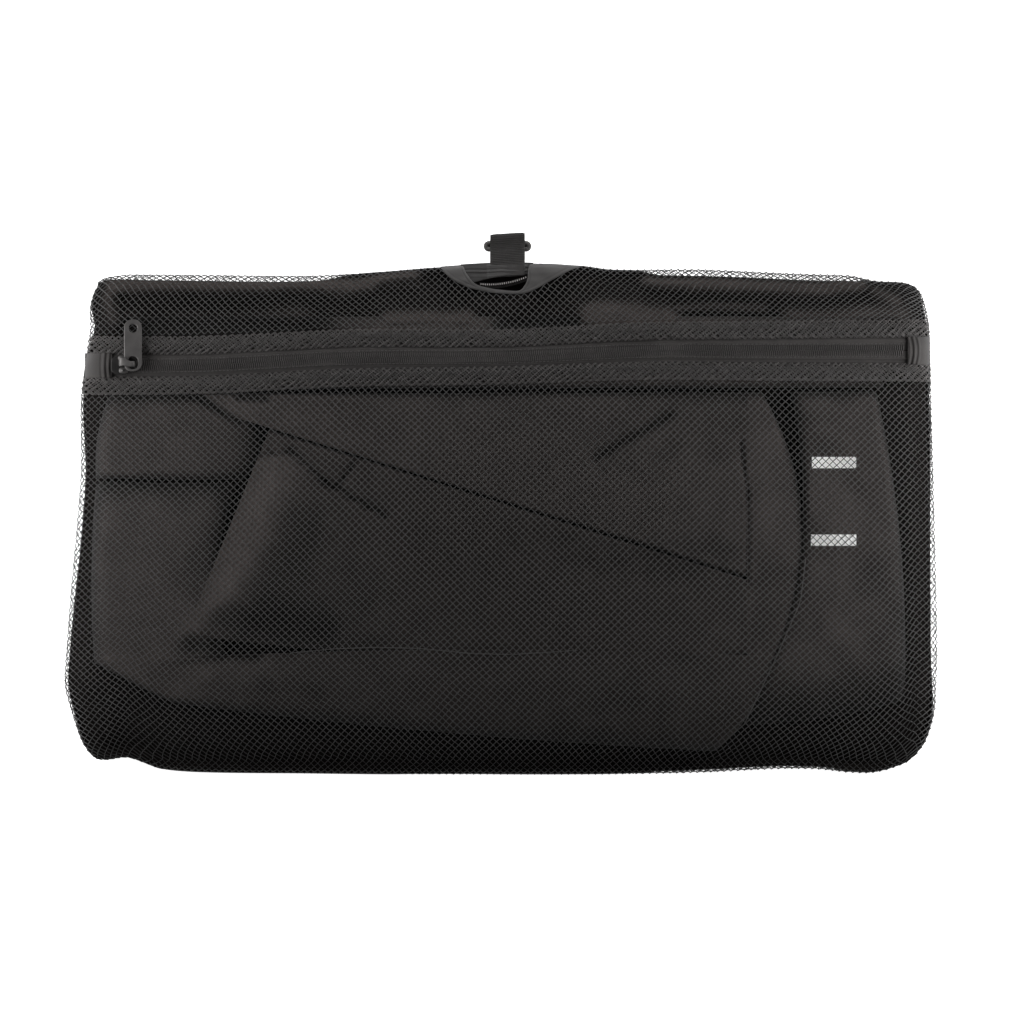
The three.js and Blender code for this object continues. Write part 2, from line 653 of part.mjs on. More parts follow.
function bundleCore() {
  const sideSteps = [0, 4, 12];
  const columns = stations(BAG_WIDTH - 2 * CORE_INSET, sideSteps, sideSteps, CORE_STEP);
  const rows = stations(275, [0, 4, 12, 24, 40, 60], [0, 4, 12, 22, 34, 48], CORE_STEP);
  const lower = (x) => bottomEdge(x) + CORE_INSET;
  const upper = (x) => topEdge(x) - CORE_INSET;
  const slack = (x, y) => 1 - climb(x, y, BACK_SLOPE, BACK_SLOPE, BACK_SLOPE);
  const bottom = (x, y) => backInnerZ(x, y) + GAP + CORE_SLACK * slack(x, y);
  const top = (x, y) => {
    const fromSide = Math.min(x - leftEdge(y), rightEdge(y) - x) - CORE_INSET;
    const inside = Math.min(fromSide, y - lower(x), upper(x) - y);
    const full = Math.min(frontZ(x, y) - CORE_DEPTH, frontInnerZ(x, y) - 2) - mouthPit(x, y);
    const base = bottom(x, y) + CORE_RIM;
    return Math.max(base, lerp(base, full, rounded(inside / CORE_ROLL)));
  };
  return slab(columns, rows, bandPlace(lower, upper, CORE_INSET), top, bottom);
}

function foldedLayer(fold) {
  const place = patchPlace(fold);
  const span = (a, b) => Math.hypot(a[0] - b[0], a[1] - b[1]);
  const across = Math.min(span(fold.sw, fold.se), span(fold.nw, fold.ne)) + 2 * Math.abs(fold.bow.e);
  const upward = (span(fold.sw, fold.nw) + span(fold.se, fold.ne)) / 2;
  const edgeSteps = [0, FOLD_ROLL];
  const columns = stations(across, edgeSteps, edgeSteps, fold.step);
  const rows = stations(upward, edgeSteps, edgeSteps, Math.min(fold.step, upward / 4));
  const roll = (u, t) => {
    const inside = Math.min(u * across, (1 - u) * across, t * upward, (1 - t) * upward);
    return FOLD_DROP * (1 - rounded(inside / FOLD_ROLL));
  };
  const top = (x, y, u, t) => {
    const under = Math.min(frontZ(x, y) - fold.depth, frontInnerZ(x, y) - 2 * GAP);
    return Math.max(under - roll(u, t), frontZ(x, y) - FOLD_BASE + 0.6);
  };
  return slab(columns, rows, place, top, (x, y) => frontZ(x, y) - FOLD_BASE);
}

piece('net_back', netBack(), NET);
piece('net_front', netFront(), NET);
piece('net_top', netTop(), NET);
piece('hem_lower', hem(hemFoot, (x) => zipY(x) - halfStrip(x)), NET);
piece('hem_upper', hem((x) => zipY(x) + halfStrip(x), hemHead), NET);
piece('zip_tape_lower', zipTape(-1), TAPE);
piece('zip_tape_upper', zipTape(1), TAPE);
piece('zip_coil', zipCoil(), COIL);
piece('zip_tab_left', zipTab(leftEdge(sliderY), TAB_LEFT_END), CLOTH);
piece('zip_tab_right', zipTab(TAB_RIGHT_END, rightEdge(zipY(ZIP_END))), CLOTH);

const slider = new THREE.Group();
slider.position.set(SLIDER.x, sliderY, tapeZ);
bag.add(slider);
piece('zip_slider', zipSlider(), DARK_METAL, slider);
const pull = piece('zip_pull', zipPull(), DARK_METAL, slider);
pull.position.set(PULL.legX, ARCH.y, legZ);
pull.rotation.x = -THREE.MathUtils.degToRad(PULL.tiltDeg);

piece('mouth_binding', mouthBinding(), CLOTH);
piece('mouth_lip', mouthLip(), CLOTH);
piece('lip_coil', lipCoil(), COIL);
piece('hang_strap', hangStrap(), WEBBING);
const ring = piece('strap_ring', strapRing(), DARK_METAL);
ring.position.set(STRAP.x, RING.y, STRAP.thick + 0.1 + GAP + RING.wire / 2);

piece('bundle_core', bundleCore(), CLOTH);
for (const fold of FOLDS) piece(fold.name, foldedLayer(fold), CLOTH);

export default bag;
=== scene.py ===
"""Looks of a zipped net bag that lies on its back, packed with a folded cloth bundle.

Every surface is worked out in millimetres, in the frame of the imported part, and scaled to metres as it
becomes a mesh. +X runs along the zip, +Y to the top edge with the strap, +Z up.
"""

import bpy
import numpy as np
from mathutils import Matrix, Vector


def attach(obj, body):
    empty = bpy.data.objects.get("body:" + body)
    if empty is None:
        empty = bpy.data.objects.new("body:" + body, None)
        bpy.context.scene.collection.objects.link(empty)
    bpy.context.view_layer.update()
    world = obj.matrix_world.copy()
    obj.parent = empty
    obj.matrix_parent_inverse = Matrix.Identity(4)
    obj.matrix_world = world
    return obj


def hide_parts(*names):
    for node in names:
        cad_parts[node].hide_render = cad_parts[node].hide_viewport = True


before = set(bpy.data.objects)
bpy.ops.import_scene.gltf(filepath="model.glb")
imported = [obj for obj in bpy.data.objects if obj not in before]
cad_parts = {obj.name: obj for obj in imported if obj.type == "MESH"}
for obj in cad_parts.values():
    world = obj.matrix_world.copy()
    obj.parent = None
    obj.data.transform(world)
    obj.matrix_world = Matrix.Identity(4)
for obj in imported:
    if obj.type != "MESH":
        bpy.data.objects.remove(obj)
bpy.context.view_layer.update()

MM = 0.001
X_WAY, Y_WAY, Z_WAY = np.eye(3)

# Clearances, walls and form of the bag
GAP = 0.3
NET_WALL = 1.0
STEEP_WALL = 3.0
SEAM_Z = 10.0
CROWN_Z = 37.5
SIDE_SLOPE = 16.0
FOOT_SLOPE = 58.0
HEAD_SLOPE = 50.0
BACK_SLOPE = 25.0
BAG_WIDTH = 488.0
BAG_HEIGHT = 285.0
PANEL_HEIGHT = 217.0
TOP_HEIGHT = 36.0

# Cells of a random field, turns in which a place between curved edges settles, and steps along an arc
NOISE_CELLS = 64
SETTLE_TURNS = 6
ARC_STEPS = 4000

# Net: half a diamond across and up, strand radius, and how far the strands pass over each other
NET_CELL = (2.03, 1.93)
BACK_CELL = (2.75, 2.65)
STRAND = 0.28
STRAND_SIDES = 3
STRAND_WEAVE = 0.15

# Rises that the net's rows are spaced over: less than the bag's, because the net is drawn thin at its rim
CLOTH_RISE = 12.0
SIDE_RISE = 5.0

# Rim: growth and reach of the strands there, the net that turns under, the seam, and space at the opening
RIM_SWELL = 0.3
RIM_REACH = 5.0
RIM_ACROSS, RIM_UP, RIM_ROWS = 200, 116, 5
RIM_STRAND = 0.2
SEAM_CORD = 0.5
MOUTH_ROOM = 1.2
LIP_CLEAR = 1.0

# Drift of the net's rows: amount, noise size and seed across, noise size and seed up
DRIFTS = ((0.6, 38, 11, 34, 13), (0.3, 7, 12, 7, 14))

# One way of the diagonals leads: it lies higher and is thicker by these shares. Which one it is changes
# over a span, with a drift of its own, and never wholly
LEAD_LIFT = 0.16
LEAD_SIZE = 0.12
LEAD_SPAN = 150.0
LEAD_DRIFT = 0.5
LEAD_MOST = 0.8

# Hems: width, how the folded side turns down, shift of the layers, and drift and ripple of their rows
HEM_WIDTH = 10.4
HEM_TURN = 1.5
HEM_TURN_REACH = 2.2
HEM_SHIFT = 0.06
HEM_DRIFT = 0.9
HEM_RIPPLE = 0.5
HEM_GRAIN = 5.0

# Zip tapes: ridges along them, slow waves as amount, size and seed, and the dip beside each hem by its side
ZIP_START = -228.0
ZIP_END = 238.0
TAPE_UNDER_HEM = 4.0
TAPE_THICK = 0.7
TAPE_LEAST = 0.4
TAPE_STEP = 2.5
TAPE_ROWS = 41
RIDGE = 0.1
RIDGE_PITCH = 1.5
RIDGE_FROM = 3.6
RIDGE_EASE = 0.6
TAPE_WAVES = ((0.3, 24, 31), (0.15, 9, 32))
TAPE_DIP = 0.9
DIP_EASE = 1.2
DIP_FROM = {-1: 2.6, 1: 1.2}

# Coil: teeth, and the thread beside them with its stitch, gap and radius
COIL_START = 2.0
COIL_END = 231.2
COIL_HEIGHT = 1.6
TOOTH_PITCH = 1.2
TOOTH_LENGTH = 3.3
TOOTH_HALF_WIDE = 0.29
TOOTH_HALF_TALL = 0.42
TOOTH_LEAN = 0.25
TOOTH_FALL = 0.18
TOOTH_LAP = 0.3
TOOTH_LIFT = 0.3
THREAD_START = 8.0
THREAD_AWAY = 3.7
THREAD_LIFT = 0.2
THREAD_STITCH = (1.7, 0.5, 0.2)

# Cloth tabs at the ends of the zip: bow of their pleats, then x, width and height of each pleat
TAB_LEFT_END = -222.6
TAB_RIGHT_END = 232.8
TAB_LAP = 0.6
TAB_STEP = 0.35
TAB_ROWS = 25
TAB_CROWN = 0.45
TAB_RUMPLE = 0.25
TAB_LEAST = 0.5
LEFT_BOW = -0.5
RIGHT_BOW = 1.3
LEFT_PLEATS = (
    (-229.2, 0.5, -0.5), (-227.4, 0.6, 0.5), (-226, 0.5, -0.6), (-224.6, 0.6, 0.6), (-223.4, 0.4, -0.4),
)
RIGHT_PLEATS = (
    (234.2, 0.6, 0.8), (235.6, 0.5, -0.7), (237, 0.6, 0.7), (238.4, 0.45, -0.6), (239.6, 0.6, 0.5),
)

# Slider: plates, nose and flanges, how far parts sink into each other, and where the tapes part at the nose
SLIDER_X = -216.2
SLIDER_LENGTH = 13.8
SLIDER_WIDTH = 10.6
SLIDER_PLATE = 1.0
SLIDER_NOSE = 2.2
NOSE_IN = 1.7
NOSE_ROOM = 0.3
PLATE_ROOM = 0.4
PLATE_BEVEL = 0.3
PLATE_TAPER = 0.14
FLANGE_FROM = 2.6
FLANGE_TO = 1.4
FLANGE_Y = 4.05
FLANGE_THICK = 0.9
SUNK = 0.2
TAPES_PART = 3.0
TAPES_CLOSE = 4.0

# Arch on the slider, its wider crown at the left, and the lobes beside it
ARCH_FROM = -2.4
ARCH_TO = 6.9
ARCH_BAR = 1.1
ARCH_WIDTH = 3.2
CROWN_WIDTH = 5.0
ARCH_Y = 0.8
CROWN_SHIFT = 1.2
CROWN_TO = 0.6
CROWN_EASE = 2.4
LEG_LIFT = 2.35
ARCH_ROOM = 1.95
ARCH_ROUND = 0.3
LOBE_POWER = 2.6
LOBE_FALL = 0.97

# Pull tab: its leg in the arch, plate, eye and hole
PULL_LEG_X = 1.7
PULL_LEG = 2.2
PULL_WIDTH = 10.1
PULL_FOOT = -4.3
PULL_HEAD = 25.7
PULL_THICK = 1.5
PULL_BEVEL = 0.38
PULL_CORNER = 4.4
PULL_TILT = np.radians(9)
EYE_WIDTH = 5.7
EYE_FOOT = -3.1
EYE_HEAD = 4.3
EYE_CORNER = 2.6
PULL_HOLE_Y = 20.6
PULL_HOLE_RADIUS = 2.5

# Low lobes beside the arch on the slider's top plate: x, y, half length, half width, height
CROWN_LOBES = ((-0.4, 4.2, 2.6, 1.5, 1.1), (0.3, -2.9, 2.8, 1.8, 1.1))

# Strap: size, and its way as y and height, past the top edge, level at the ring and back over the ground
STRAP_X = 3.7
STRAP_WIDTH = 20.0
STRAP_THICK = 1.4
STRAP_END_Y = 155.1
STRAP_SKEW = 0.06
STRAP_STEP = 0.15
STRAP_FROM = 1.0
STRAP_FLOOR = 0.1
STRAP_ON_LIP = 1.25
STRAP_FALL = ((142.4, 9.8), (146.2, 6.6))
STRAP_LEVEL = (149, 0.2)
STRAP_BACK = ((143.6, 0), (141.6, 2.2), (140.6, 6))

# Webbing: ribs across it, cords along it, its edges, and the ply inside the ring
RIB_PITCH = 1.25
RIB_DEEP = 0.65
RIB_ROUND = 0.7
RIB_DRAW = 0.012
RIBS_FROM = 6.0
RIBS_EASE = 4.0
CORD_COUNT = 22
CORD_SWELL = 0.12
STRAP_POWER = 14
STRAP_EDGE = 0.25
TURN_HALF = 11.6
TURN_Z = 2.6
TURN_SIZE = (1.5, 1.2)

# Ring in the strap
RING_WIDTH = 27.5
RING_DEPTH = 6.3
RING_WIRE = 2.3
RING_BAND = 2.75
RING_ROUND = 2.3
RING_Y = 147.6

# Half-moon opening: crown of its binding, and the pressed groove along each seam
BINDING_CROWN = 0.75
BINDING_ROUND = 1.3
BINDING_LIFT = 0.15
GROOVE = 0.35
GROOVE_IN = 1.9
GROOVE_WIDTH = 0.45
BINDING_LEAST = 0.8
BINDING_PASS = 0.5
BINDING_EASE = 3.0

# Creases of the binding: amount, stretch across, noise size and seed
BINDING_CREASES = ((0.4, 0.35, 2.6, 51), (0.3, 1, 7, 54))

# Lip behind the opening, its rise over the end of the strap, and its creases: y at the strap, width, height
LIP_FOOT = (-16.8, 16.8)
LIP_HEAD = (-23.4, 18.6)
LIP_Y = 129.2
LIP_TILT = 0.15
LIP_BOW = 1.5
LIP_PASS = 0.9
LIP_INNER_Z = 19.4
LIP_OUTER_Z = 11.5
LIP_THICK = 2.0
LIP_LEAST = 0.6
LIP_DROOP = 1.5
LIP_ROLL = 0.9
LIP_ROLL_REACH = 0.175
STRAP_HUMP = 2.3
HUMP_PAST = 2.2
HUMP_EASE = 2.0
HUMP_TO_Y = 137.2
HUMP_END = 0.8
CREASE_TILT = 0.04
CREASE_DRIFT = 0.5
LIP_RUMPLE = 0.2
LIP_CREASES = ((134.6, 0.5, -0.5), (133.3, 0.6, 0.35), (132.5, 0.45, -0.4), (130.6, 0.5, 0.3))

# Teeth on the lip, and the tape under them
TEETH_FROM = -11.5
TEETH_TO = 14.2
TEETH_COUNT = 22
TEETH_BOW = 1.6
TEETH_IN = 0.9
TEETH_LIFT = 0.95
LIP_TOOTH_LENGTH = 1.0
LIP_TOOTH_LEAN = 0.25
LIP_TOOTH_HALF = (0.21, 0.5)
LIP_TAPE_FROM = 1.0
LIP_TAPE_TO = 0.8
LIP_TAPE_SIDES = (3.4, 0.2)
LIP_TAPE_DOWN = 0.1
LIP_TAPE_FALL = 1.2
LIP_TAPE_RIDGE = 0.14
LIP_TAPE_RIDGES = 4.5
LIP_TAPE_THICK = 0.5

# Bundle: steps in from its rims, sizes of its inside and its folded layers, and the low place at the opening
RIM_STEPS = np.array([0, 0.2, 0.6, 1.2, 2.0, 3.0, 4.2])
FOLD_STEP = 2.2
CORE_STEPS = (3.2, 2.4)
CORE_ROLL = 12.0
HEAD_ROLL = 4.0
CORE_RIM = 1.6
CORE_LEAST = 0.2
CORE_SLACK = 3.5
PIT_X, PIT_Y, PIT_RX, PIT_RY, PIT_DEEP = 3, 128, 42, 14, 4
FOLD_BASE = 14.0
FOLD_LEAST = 1.0
FOLD_RUMPLE = 2.6
RUMPLE_EASE = 6.0

# Rolls of the bundle's inside above the zip: where they start, their drift and their rumple
ROLLS_FROM_Y = 96.0
ROLLS_EASE = 6.0
ROLL_DRIFT = 1.6
ROLL_RUMPLE = 0.3

# How far the cloth stays under the net and the zip, and the cord of the pale edge lines
NET_TOUCH = 0.78
ZIP_ROOM = 2.4
ZIP_EASE = 2.5
EDGE_CORD = 0.26
EDGE_DEPTH = 1.1
EDGE_STEP = 0.8

# Painted shade on the cloth: full colour down to a depth under the net, then darkened over a reach to the
# darkest share; the share kept on the core's underside, and the power of the core's painted shade
PAINTED_SHADE_FROM = 1.0
PAINTED_SHADE_REACH = 3.2
DARKEST_PAINTED_SHARE = 0.12
UNDERSIDE_PAINTED_SHARE = 0.8
CORE_SHADE_POWER = 1.3

# Plain pale bars on the right layer: middle x and y, half length, half height
BARS = ((190.6, 23.4, 12.7, 3.25), (190.4, -21, 13, 3.25))
BAR_COLOUR = (0.95, 0.95, 0.94, 1)

# Woven cloths: dark and light grey, warmth, mottle, thread pitch and relief in millimetres, roughness, sheen,
# gloss, and whether the points carry a tone that darkens the colour as painted shade
CLOTHS = {
    "tape_cloth": (0.0235, 0.031, 0.055, 6, 0.55, 0.12, 0.8, 0.06, 0.2, False),
    "trim_cloth": (0.026, 0.037, 0.03, 9, 0.6, 0.1, 0.78, 0.08, 0.2, False),
    "tab_cloth": (0.016, 0.024, 0.06, 7, 0.6, 0.1, 0.78, 0.06, 0.2, False),
    "lip_cloth": (0.018, 0.027, 0.03, 9, 0.6, 0.1, 0.78, 0.08, 0.2, False),
    "webbing": (0.011, 0.017, 0.05, 4, 0.7, 0.15, 0.8, 0.06, 0.2, False),
    "bundle_cloth": (0.043, 0.0595, 0.1, 16, 0.62, 0.22, 0.75, 0.02, 0.1, True),
    "core_cloth": (0.045, 0.062, 0.1, 16, 0.62, 0.22, 0.75, 0.0, 0.0, True),
    # Painted shade: the bundle cloth made darker for the layers that lie in shade
    "shaded_bundle_cloth": (0.035, 0.048, 0.1, 16, 0.62, 0.22, 0.75, 0.02, 0.1, True),
    "marked_cloth": (0.0415, 0.0575, 0.1, 16, 0.62, 0.22, 0.75, 0.02, 0.1, True),
}

# Yarns and nylons: dark and light grey, warmth
YARNS = {
    "net_yarn": (0.027, 0.045, 0.01),
    "hem_yarn": (0.031, 0.081, 0.05),
    "seam_thread": (0.038, 0.06, 0.05),
    "coil_nylon": (0.025, 0.042, 0.06),
    # Painted highlight: paler than the cloth, for the cords along fold edges
    "edge_highlight_yarn": (0.06, 0.09, 0.03),
    "tooth_nylon": (0.78, 0.9, 0.03),
}

# Plated metals: dark and light grey, warmth, roughness
METALS = {
    "black_metal": (0.0125, 0.022, 0.03, 0.5),
    "dark_metal": (0.068, 0.092, 0.03, 0.5),
    "bright_metal": (0.06, 0.088, 0.03, 0.58),
}

# Mottle: detail of its noise, and where its ramp starts and ends. Weave: length of one band of a wave texture
# of scale 1, and how far its waves stray
MOTTLE_DETAIL = 4.0
MOTTLE_RAMP = (0.3, 0.7)
WAVE_BAND = np.pi / 10
WEAVE_STRAY = 0.6

# Bumps of cloth, yarn and metal: sizes and relief in millimetres, and strengths
CRUMPLE_SIZE = 3.5
CRUMPLE_DETAIL = 5.0
CRUMPLE_ROUGH = 0.6
CRUMPLE_SHARE = 2.2
CLOTH_BUMP = 0.55
TWIST_SIZE = 0.35
TWIST_BUMP = 0.4
TWIST_RELIEF = 0.12
YARN_MOTTLE = 2.6
SCRATCH_SIZE = 0.3
SCRATCH_DRAW = (1, 0.06, 1)
SCRATCH_BUMP = 0.18
SCRATCH_RELIEF = 0.05
METAL_MOTTLE = 5.0

# Picture: middle and width of the view, the camera's distance and sensor, and the floor
VIEW_X, VIEW_Y, VIEW_Z = 6.3, -4.9, 10.0
VIEW_WIDTH = 587.2
VIEW_DISTANCE = 12000.0
SENSOR = 36.0
FLOOR_SIZE = 6000.0
FLOOR_DROP = 0.05
FLOOR_TONES = (0.86, 0.9)
FLOOR_MOTTLE = 400.0

# Soft lights: name, place in metres, size and power, and the strength of the surround
LIGHTS = (
    ("left_box", (-0.44, 0.06, 0.2), 0.22, 1.7),
    ("right_box", (0.44, 0.06, 0.2), 0.22, 1.9),
    ("top_box", (0, 0.32, 0.18), 0.2, 0.66),
)
SURROUND = 0.09

# Side edges of the bag: y, left, right
SIDE_EDGES = np.array([
    (-146.6, -231.5, 234.7), (-143.2, -235.8, 238.4), (-136, -240.5, 243.5), (-120, -246, 248.4),
    (-104, -250, 249.4), (-85, -249.2, 250), (-55, -247, 249.6), (-10, -243, 248.5), (20, -240.8, 247.7),
    (60, -240.8, 246.6), (90, -237, 246), (101, -235.4, 245.4), (112, -235.7, 243.6), (121, -233.4, 240.4),
    (125, -231, 236.5),
])

# Bottom and top edges of the bag: x, bottom, top
CROSS_EDGES = np.array([
    (-231.5, -146.6, 126.7), (-226, -146.9, 129.4), (-214, -145.5, 131), (-204, -148.8, 131),
    (-195, -151.9, 131), (-172, -153.8, 130.8), (-110, -154.6, 130.4), (-75, -155, 132.2),
    (-40, -155.1, 135), (0, -155.1, 137.3), (45, -155.1, 136.2),
    (64, -155, 134), (114, -154, 133.9), (160, -151.9, 131.9), (183, -152.2, 131), (200, -154, 130.4),
    (215, -153.8, 127.4), (231, -149, 126.4), (237, -145, 124.5),
])

# Zip: x, middle line, height of the strip between its hems
ZIP_LINE = np.array([
    (-240, 79, 13.2), (-172, 79.3, 12.6), (-86, 83.3, 12.4), (0, 84, 11.2), (80, 87.2, 12.4),
    (150, 87.4, 13.6), (217, 87.6, 14.8), (248, 87.4, 14.8),
])

# Binding of the half-moon opening, along its run: outer x and y, inner x and y
BINDING_RUN = np.array([
    (0, -34.4, 134.8, -34.2, 136.2), (1, -31.5, 131.2, -28.5, 136.6), (2, -28, 128.2, -22.6, 136.8),
    (3, -22.5, 125.3, -19.4, 131.2), (4, -16, 122.8, -14.6, 125.8), (5, -6.3, 120.8, -6.1, 123.2),
    (6, 4.7, 119.9, 4.6, 121.9), (7, 11, 120, 10.5, 122), (8, 15.5, 120.8, 13.1, 124.4),
    (9, 20, 122.7, 15, 128.2), (10, 25.2, 125.6, 16.4, 136.6), (11, 30, 128.3, 22, 137.6),
    (12, 35, 131, 30.5, 137.4), (13, 40, 133.6, 39, 136.8), (14, 45, 135.3, 45.2, 136.4),
])

# Cut line of the net at the opening: x, y
MOUTH = np.array([
    (-34.4, 135), (-31.5, 131.2), (-28, 128.2), (-22.5, 125.3), (-14.6, 122.3), (-6.3, 120.8), (4.7, 119.9),
    (10.7, 120), (15, 120.7), (25.2, 125.6), (33.8, 130.4), (39.5, 133.4), (45.3, 135.4),
])

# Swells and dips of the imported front: x, y, reach across, reach up, rise
SWELLS = (
    (40, 40, 150, 55, 3), (-150, -25, 45, 70, 1.6), (78, 110, 45, 16, 3.4), (3, 124, 48, 18, -5),
    (208, -20, 45, 110, -4.5), (-205, 30, 50, 60, -2.5), (-100, 112, 90, 16, -2.5), (20, -100, 170, 45, -2),
)

# Space between the bag's edge and the bundle: y, left, right, then x, bottom, top
SIDE_SPACE = np.array([
    (-150, 0.6, 0.5), (-130, 1.2, 0.8), (-105, 2.2, 2.4), (-85, 2.3, 3.8), (-55, 2.8, 3.6), (-25, 3.4, 3.0),
    (15, 3.0, 2.0), (45, 2.0, 1.2), (62, 1.6, 1.4), (80, 0.6, 0.6), (95, 2.2, 0.9), (104, 2.6, 1.6),
    (113, 1.2, 1.8), (124, 0.6, 0.8),
])
CROSS_SPACE = np.array([
    (-236, 1.2, 0.5), (-216, 0.8, 2.8), (-200, 0.2, 3.4), (-105, 0.2, 3.2), (-84, 0.2, 0.5), (-60, 0.2, 0.3),
    (-35, 0.8, 0.3), (0, 0.2, 0.3), (60, 0.3, 0.3), (78, 0.7, 0.8), (92, 1.4, 3.4), (150, 1.8, 3.6),
    (200, 1.2, 3.2), (214, 0.6, 0.5), (237, 0.3, 0.3),
])

# Folded layers: depth under the net, corners from the south-west round, outward bow of the south, east, north
# and west sides, and how far in and how deep each of these sides falls away
FOLDS = {
    "fold_head": (2.0, [(-223, 65.5), (219, 66.5), (216, 107), (-214, 107)], (0, 0, 0, 0),
                  ((4, 4), (6, 5), (5, 3), (6, 5))),
    "fold_upper": (1.15, [(-156, 50.5), (140.2, -42.5), (141.5, 63.5), (-172, 63)], (0, 0, 0, 0),
                   ((1.9, 4.5), (1.2, 0.8), (7, 7), (5, 6))),
    "fold_left": (1.95, [(-232, 14.5), (-147, 13.5), (-160, 62.5), (-224, 62.5)], (0, 16, 0, 3),
                  ((5, 5), (34, 9), (12, 10), (9, 9))),
    "fold_side": (1.5, [(-233, -90.8), (-158, -89.5), (-151, 11.5), (-232, 12)], (0, -8, 0, 2),
                  ((0.8, 0.2), (26, 7), (22, 9), (13, 10))),
    "fold_centre": (1.1, [(-180.6, -75), (142.5, -87), (140.2, -43.4), (-132.5, 42.4)], (8, 0, 0, 0),
                    ((14, 3.5), (1.2, 0.4), (2.4, 5), (2, 0.6))),
    "fold_lower": (1.1, [(-187, -114.5), (123, -142), (156.5, -87.7), (-233, -91)], (3, 5, 5.5, 0.5),
                   ((14, 10), (6, 5), (1.2, 0.5), (9, 7))),
    "fold_end": (1.1, [(140.9, -90), (156, -90), (149.5, 63.5), (140.6, 63.5)], (0, 20, 0, 0),
                 ((2, 0.6), (7, 8), (8, 7), (1.2, 0.6))),
    "fold_right": (1.25, [(134, -127), (231, -113), (215, 64), (166, 64)], (3, 6, 0, -20),
                   ((60, 9), (8, 10), (9, 8), (9, 7))),
}

# Layers of another material than the rest: the bundle cloth painted darker for layers in shade, and the cloth
# with the pale bars; and the first seed of the layers' soft folds
CLOTH_OF_FOLD = {"fold_centre": "shaded_bundle_cloth", "fold_lower": "shaded_bundle_cloth", "fold_right": "marked_cloth"}
FOLD_SEED = 60

# Creases pressed into the folded layers: x and y at each end, half width, height
CREASES = (
    (-120, 31, -101, 12.5, 1.8, -5), (-101, 12.5, -66, -7, 2.0, -7), (-82.5, 25, -92.5, 11.5, 1.6, -5),
    (-138, 28, -119, 29.5, 1.6, -3.5), (-149, 61, -134, 60, 2.5, -5), (-177, -82, -142, -85, 6.5, -4.5),
    (-176, 62, -150, 47, 2.2, -4),
    (137.5, 34, 141.3, 5, 1.3, -3.5), (141.3, 5, 141.2, -47, 1.3, -3.5), (-122, 14, -60, -20, 7, 0.9),
    (54, 26, 97, 50, 2.4, -4), (62, 22, 104, 45, 6, 1.0), (-142, 16, -168, -66, 8, 1.2),
    (-110, -4, -130, -66, 16, -2.2), (-160, -66, -100, -73, 10, -4.5), (-60, 45, 30, 38, 9, 0.8),
    (10, -20, 120, -30, 12, -1.2), (-20, -62, 110, -70, 9, 0.9), (180, -60, 205, -90, 7, 0.9),
    (170, 45, 205, 5, 8, -1.2), (163, 30, 176, -20, 6, -1), (-215, -20, -190, -60, 9, 1.1),
    (-210, 40, -180, 30, 8, 0.9), (147, 20, 152, -30, 5, 0.8), (-170, -97, -60, -101, 7, 0.9),
    (-20, -112, 90, -116, 9, -1), (-225, 102, -106, 102, 8, -10), (4, 104, 40, 104, 9, -10),
)

# Painted light on the folded layers, where a fold edge catches light and the painted shade is lifted: x and y
# at each end, half width, share
PAINTED_LIGHT_BANDS = (
    (-131, 17, -166, -72, 13, 1.5), (-150, 54, -95, 42, 12, 0.3), (150, 40, 153, -10, 10, 0.35),
    (-222, -96, -180, -107, 13, 0.5), (-168, -97, -135, -93, 7, 0.35), (-40, 30, 110, 10, 30, 0.2),
    (185, 30, 200, -60, 22, 0.2),
)

# Edges that show as thin pale lines, as cords paler than the cloth that paint a highlight along fold edges: x
# and y along each
EDGE_LINES = (
    ((-121, -85.6), (-95, -83.2), (-71, -82.3), (-46, -83), (-17, -85.9), (6, -86.5), (45, -84)),
    ((174.5, -30), (171.5, -56), (158.5, -86), (150, -104), (139, -127)),
)

# Rolls of cloth above the zip that come up to the net: x and y at each end, half width, height
HEAD_ROLLS = (
    (-222, 125.2, -75, 125.4, 4.2, 1.5), (-75, 127, -50, 130, 3.6, 1.3), (-68, 124, -48, 125, 4, 0.4),
    (-214, 106.5, -110, 107.5, 5.5, 0.42), (-225, 118, -221, 104, 5, 0.6), (-64, 104, -20, 104.5, 5, 1.4),
    (54, 106, 94, 105.5, 8, 1.5), (84, 128, 108, 126, 3.5, 1.1), (108, 125.2, 206, 124.2, 4, 1.4),
    (100, 112.6, 150, 112.6, 2.2, 0.75), (166, 108, 228, 106.5, 6.5, 0.75), (214, 120, 226, 114, 4.5, 0.75),
)

# Layers of a hem: shift across and up in half cells, lean, height over the front, which diagonals lead
HEM_LAYERS = ((0.0, 0.0, 0.0, 0.5, 0.5), (0.9, 0.4, 0.2, 0.0, -0.8), (0.4, 0.9, -0.25, -0.6, 0.6))

# Soft folds of packed cloth: amount, stretch across and up, noise size
RUMPLES = ((0.5, 0.6, 1, 34), (0.3, 1, 0.7, 15), (0.14, 1, 1, 7), (0.06, 1, 1, 3))


def rounded(t):
    """Quarter circle: 0 at 0, upright there, and level at 1."""
    return np.sqrt(1 - (1 - np.clip(t, 0, 1)) ** 2)


def smooth_step(t):
    """Cubic ease from 0 to 1, level at both ends."""
    return t * t * (3 - 2 * t)


def unit(vectors):
    """Vectors divided by their length."""
    return vectors / np.maximum(np.linalg.norm(vectors, axis=-1, keepdims=True), 1e-12)


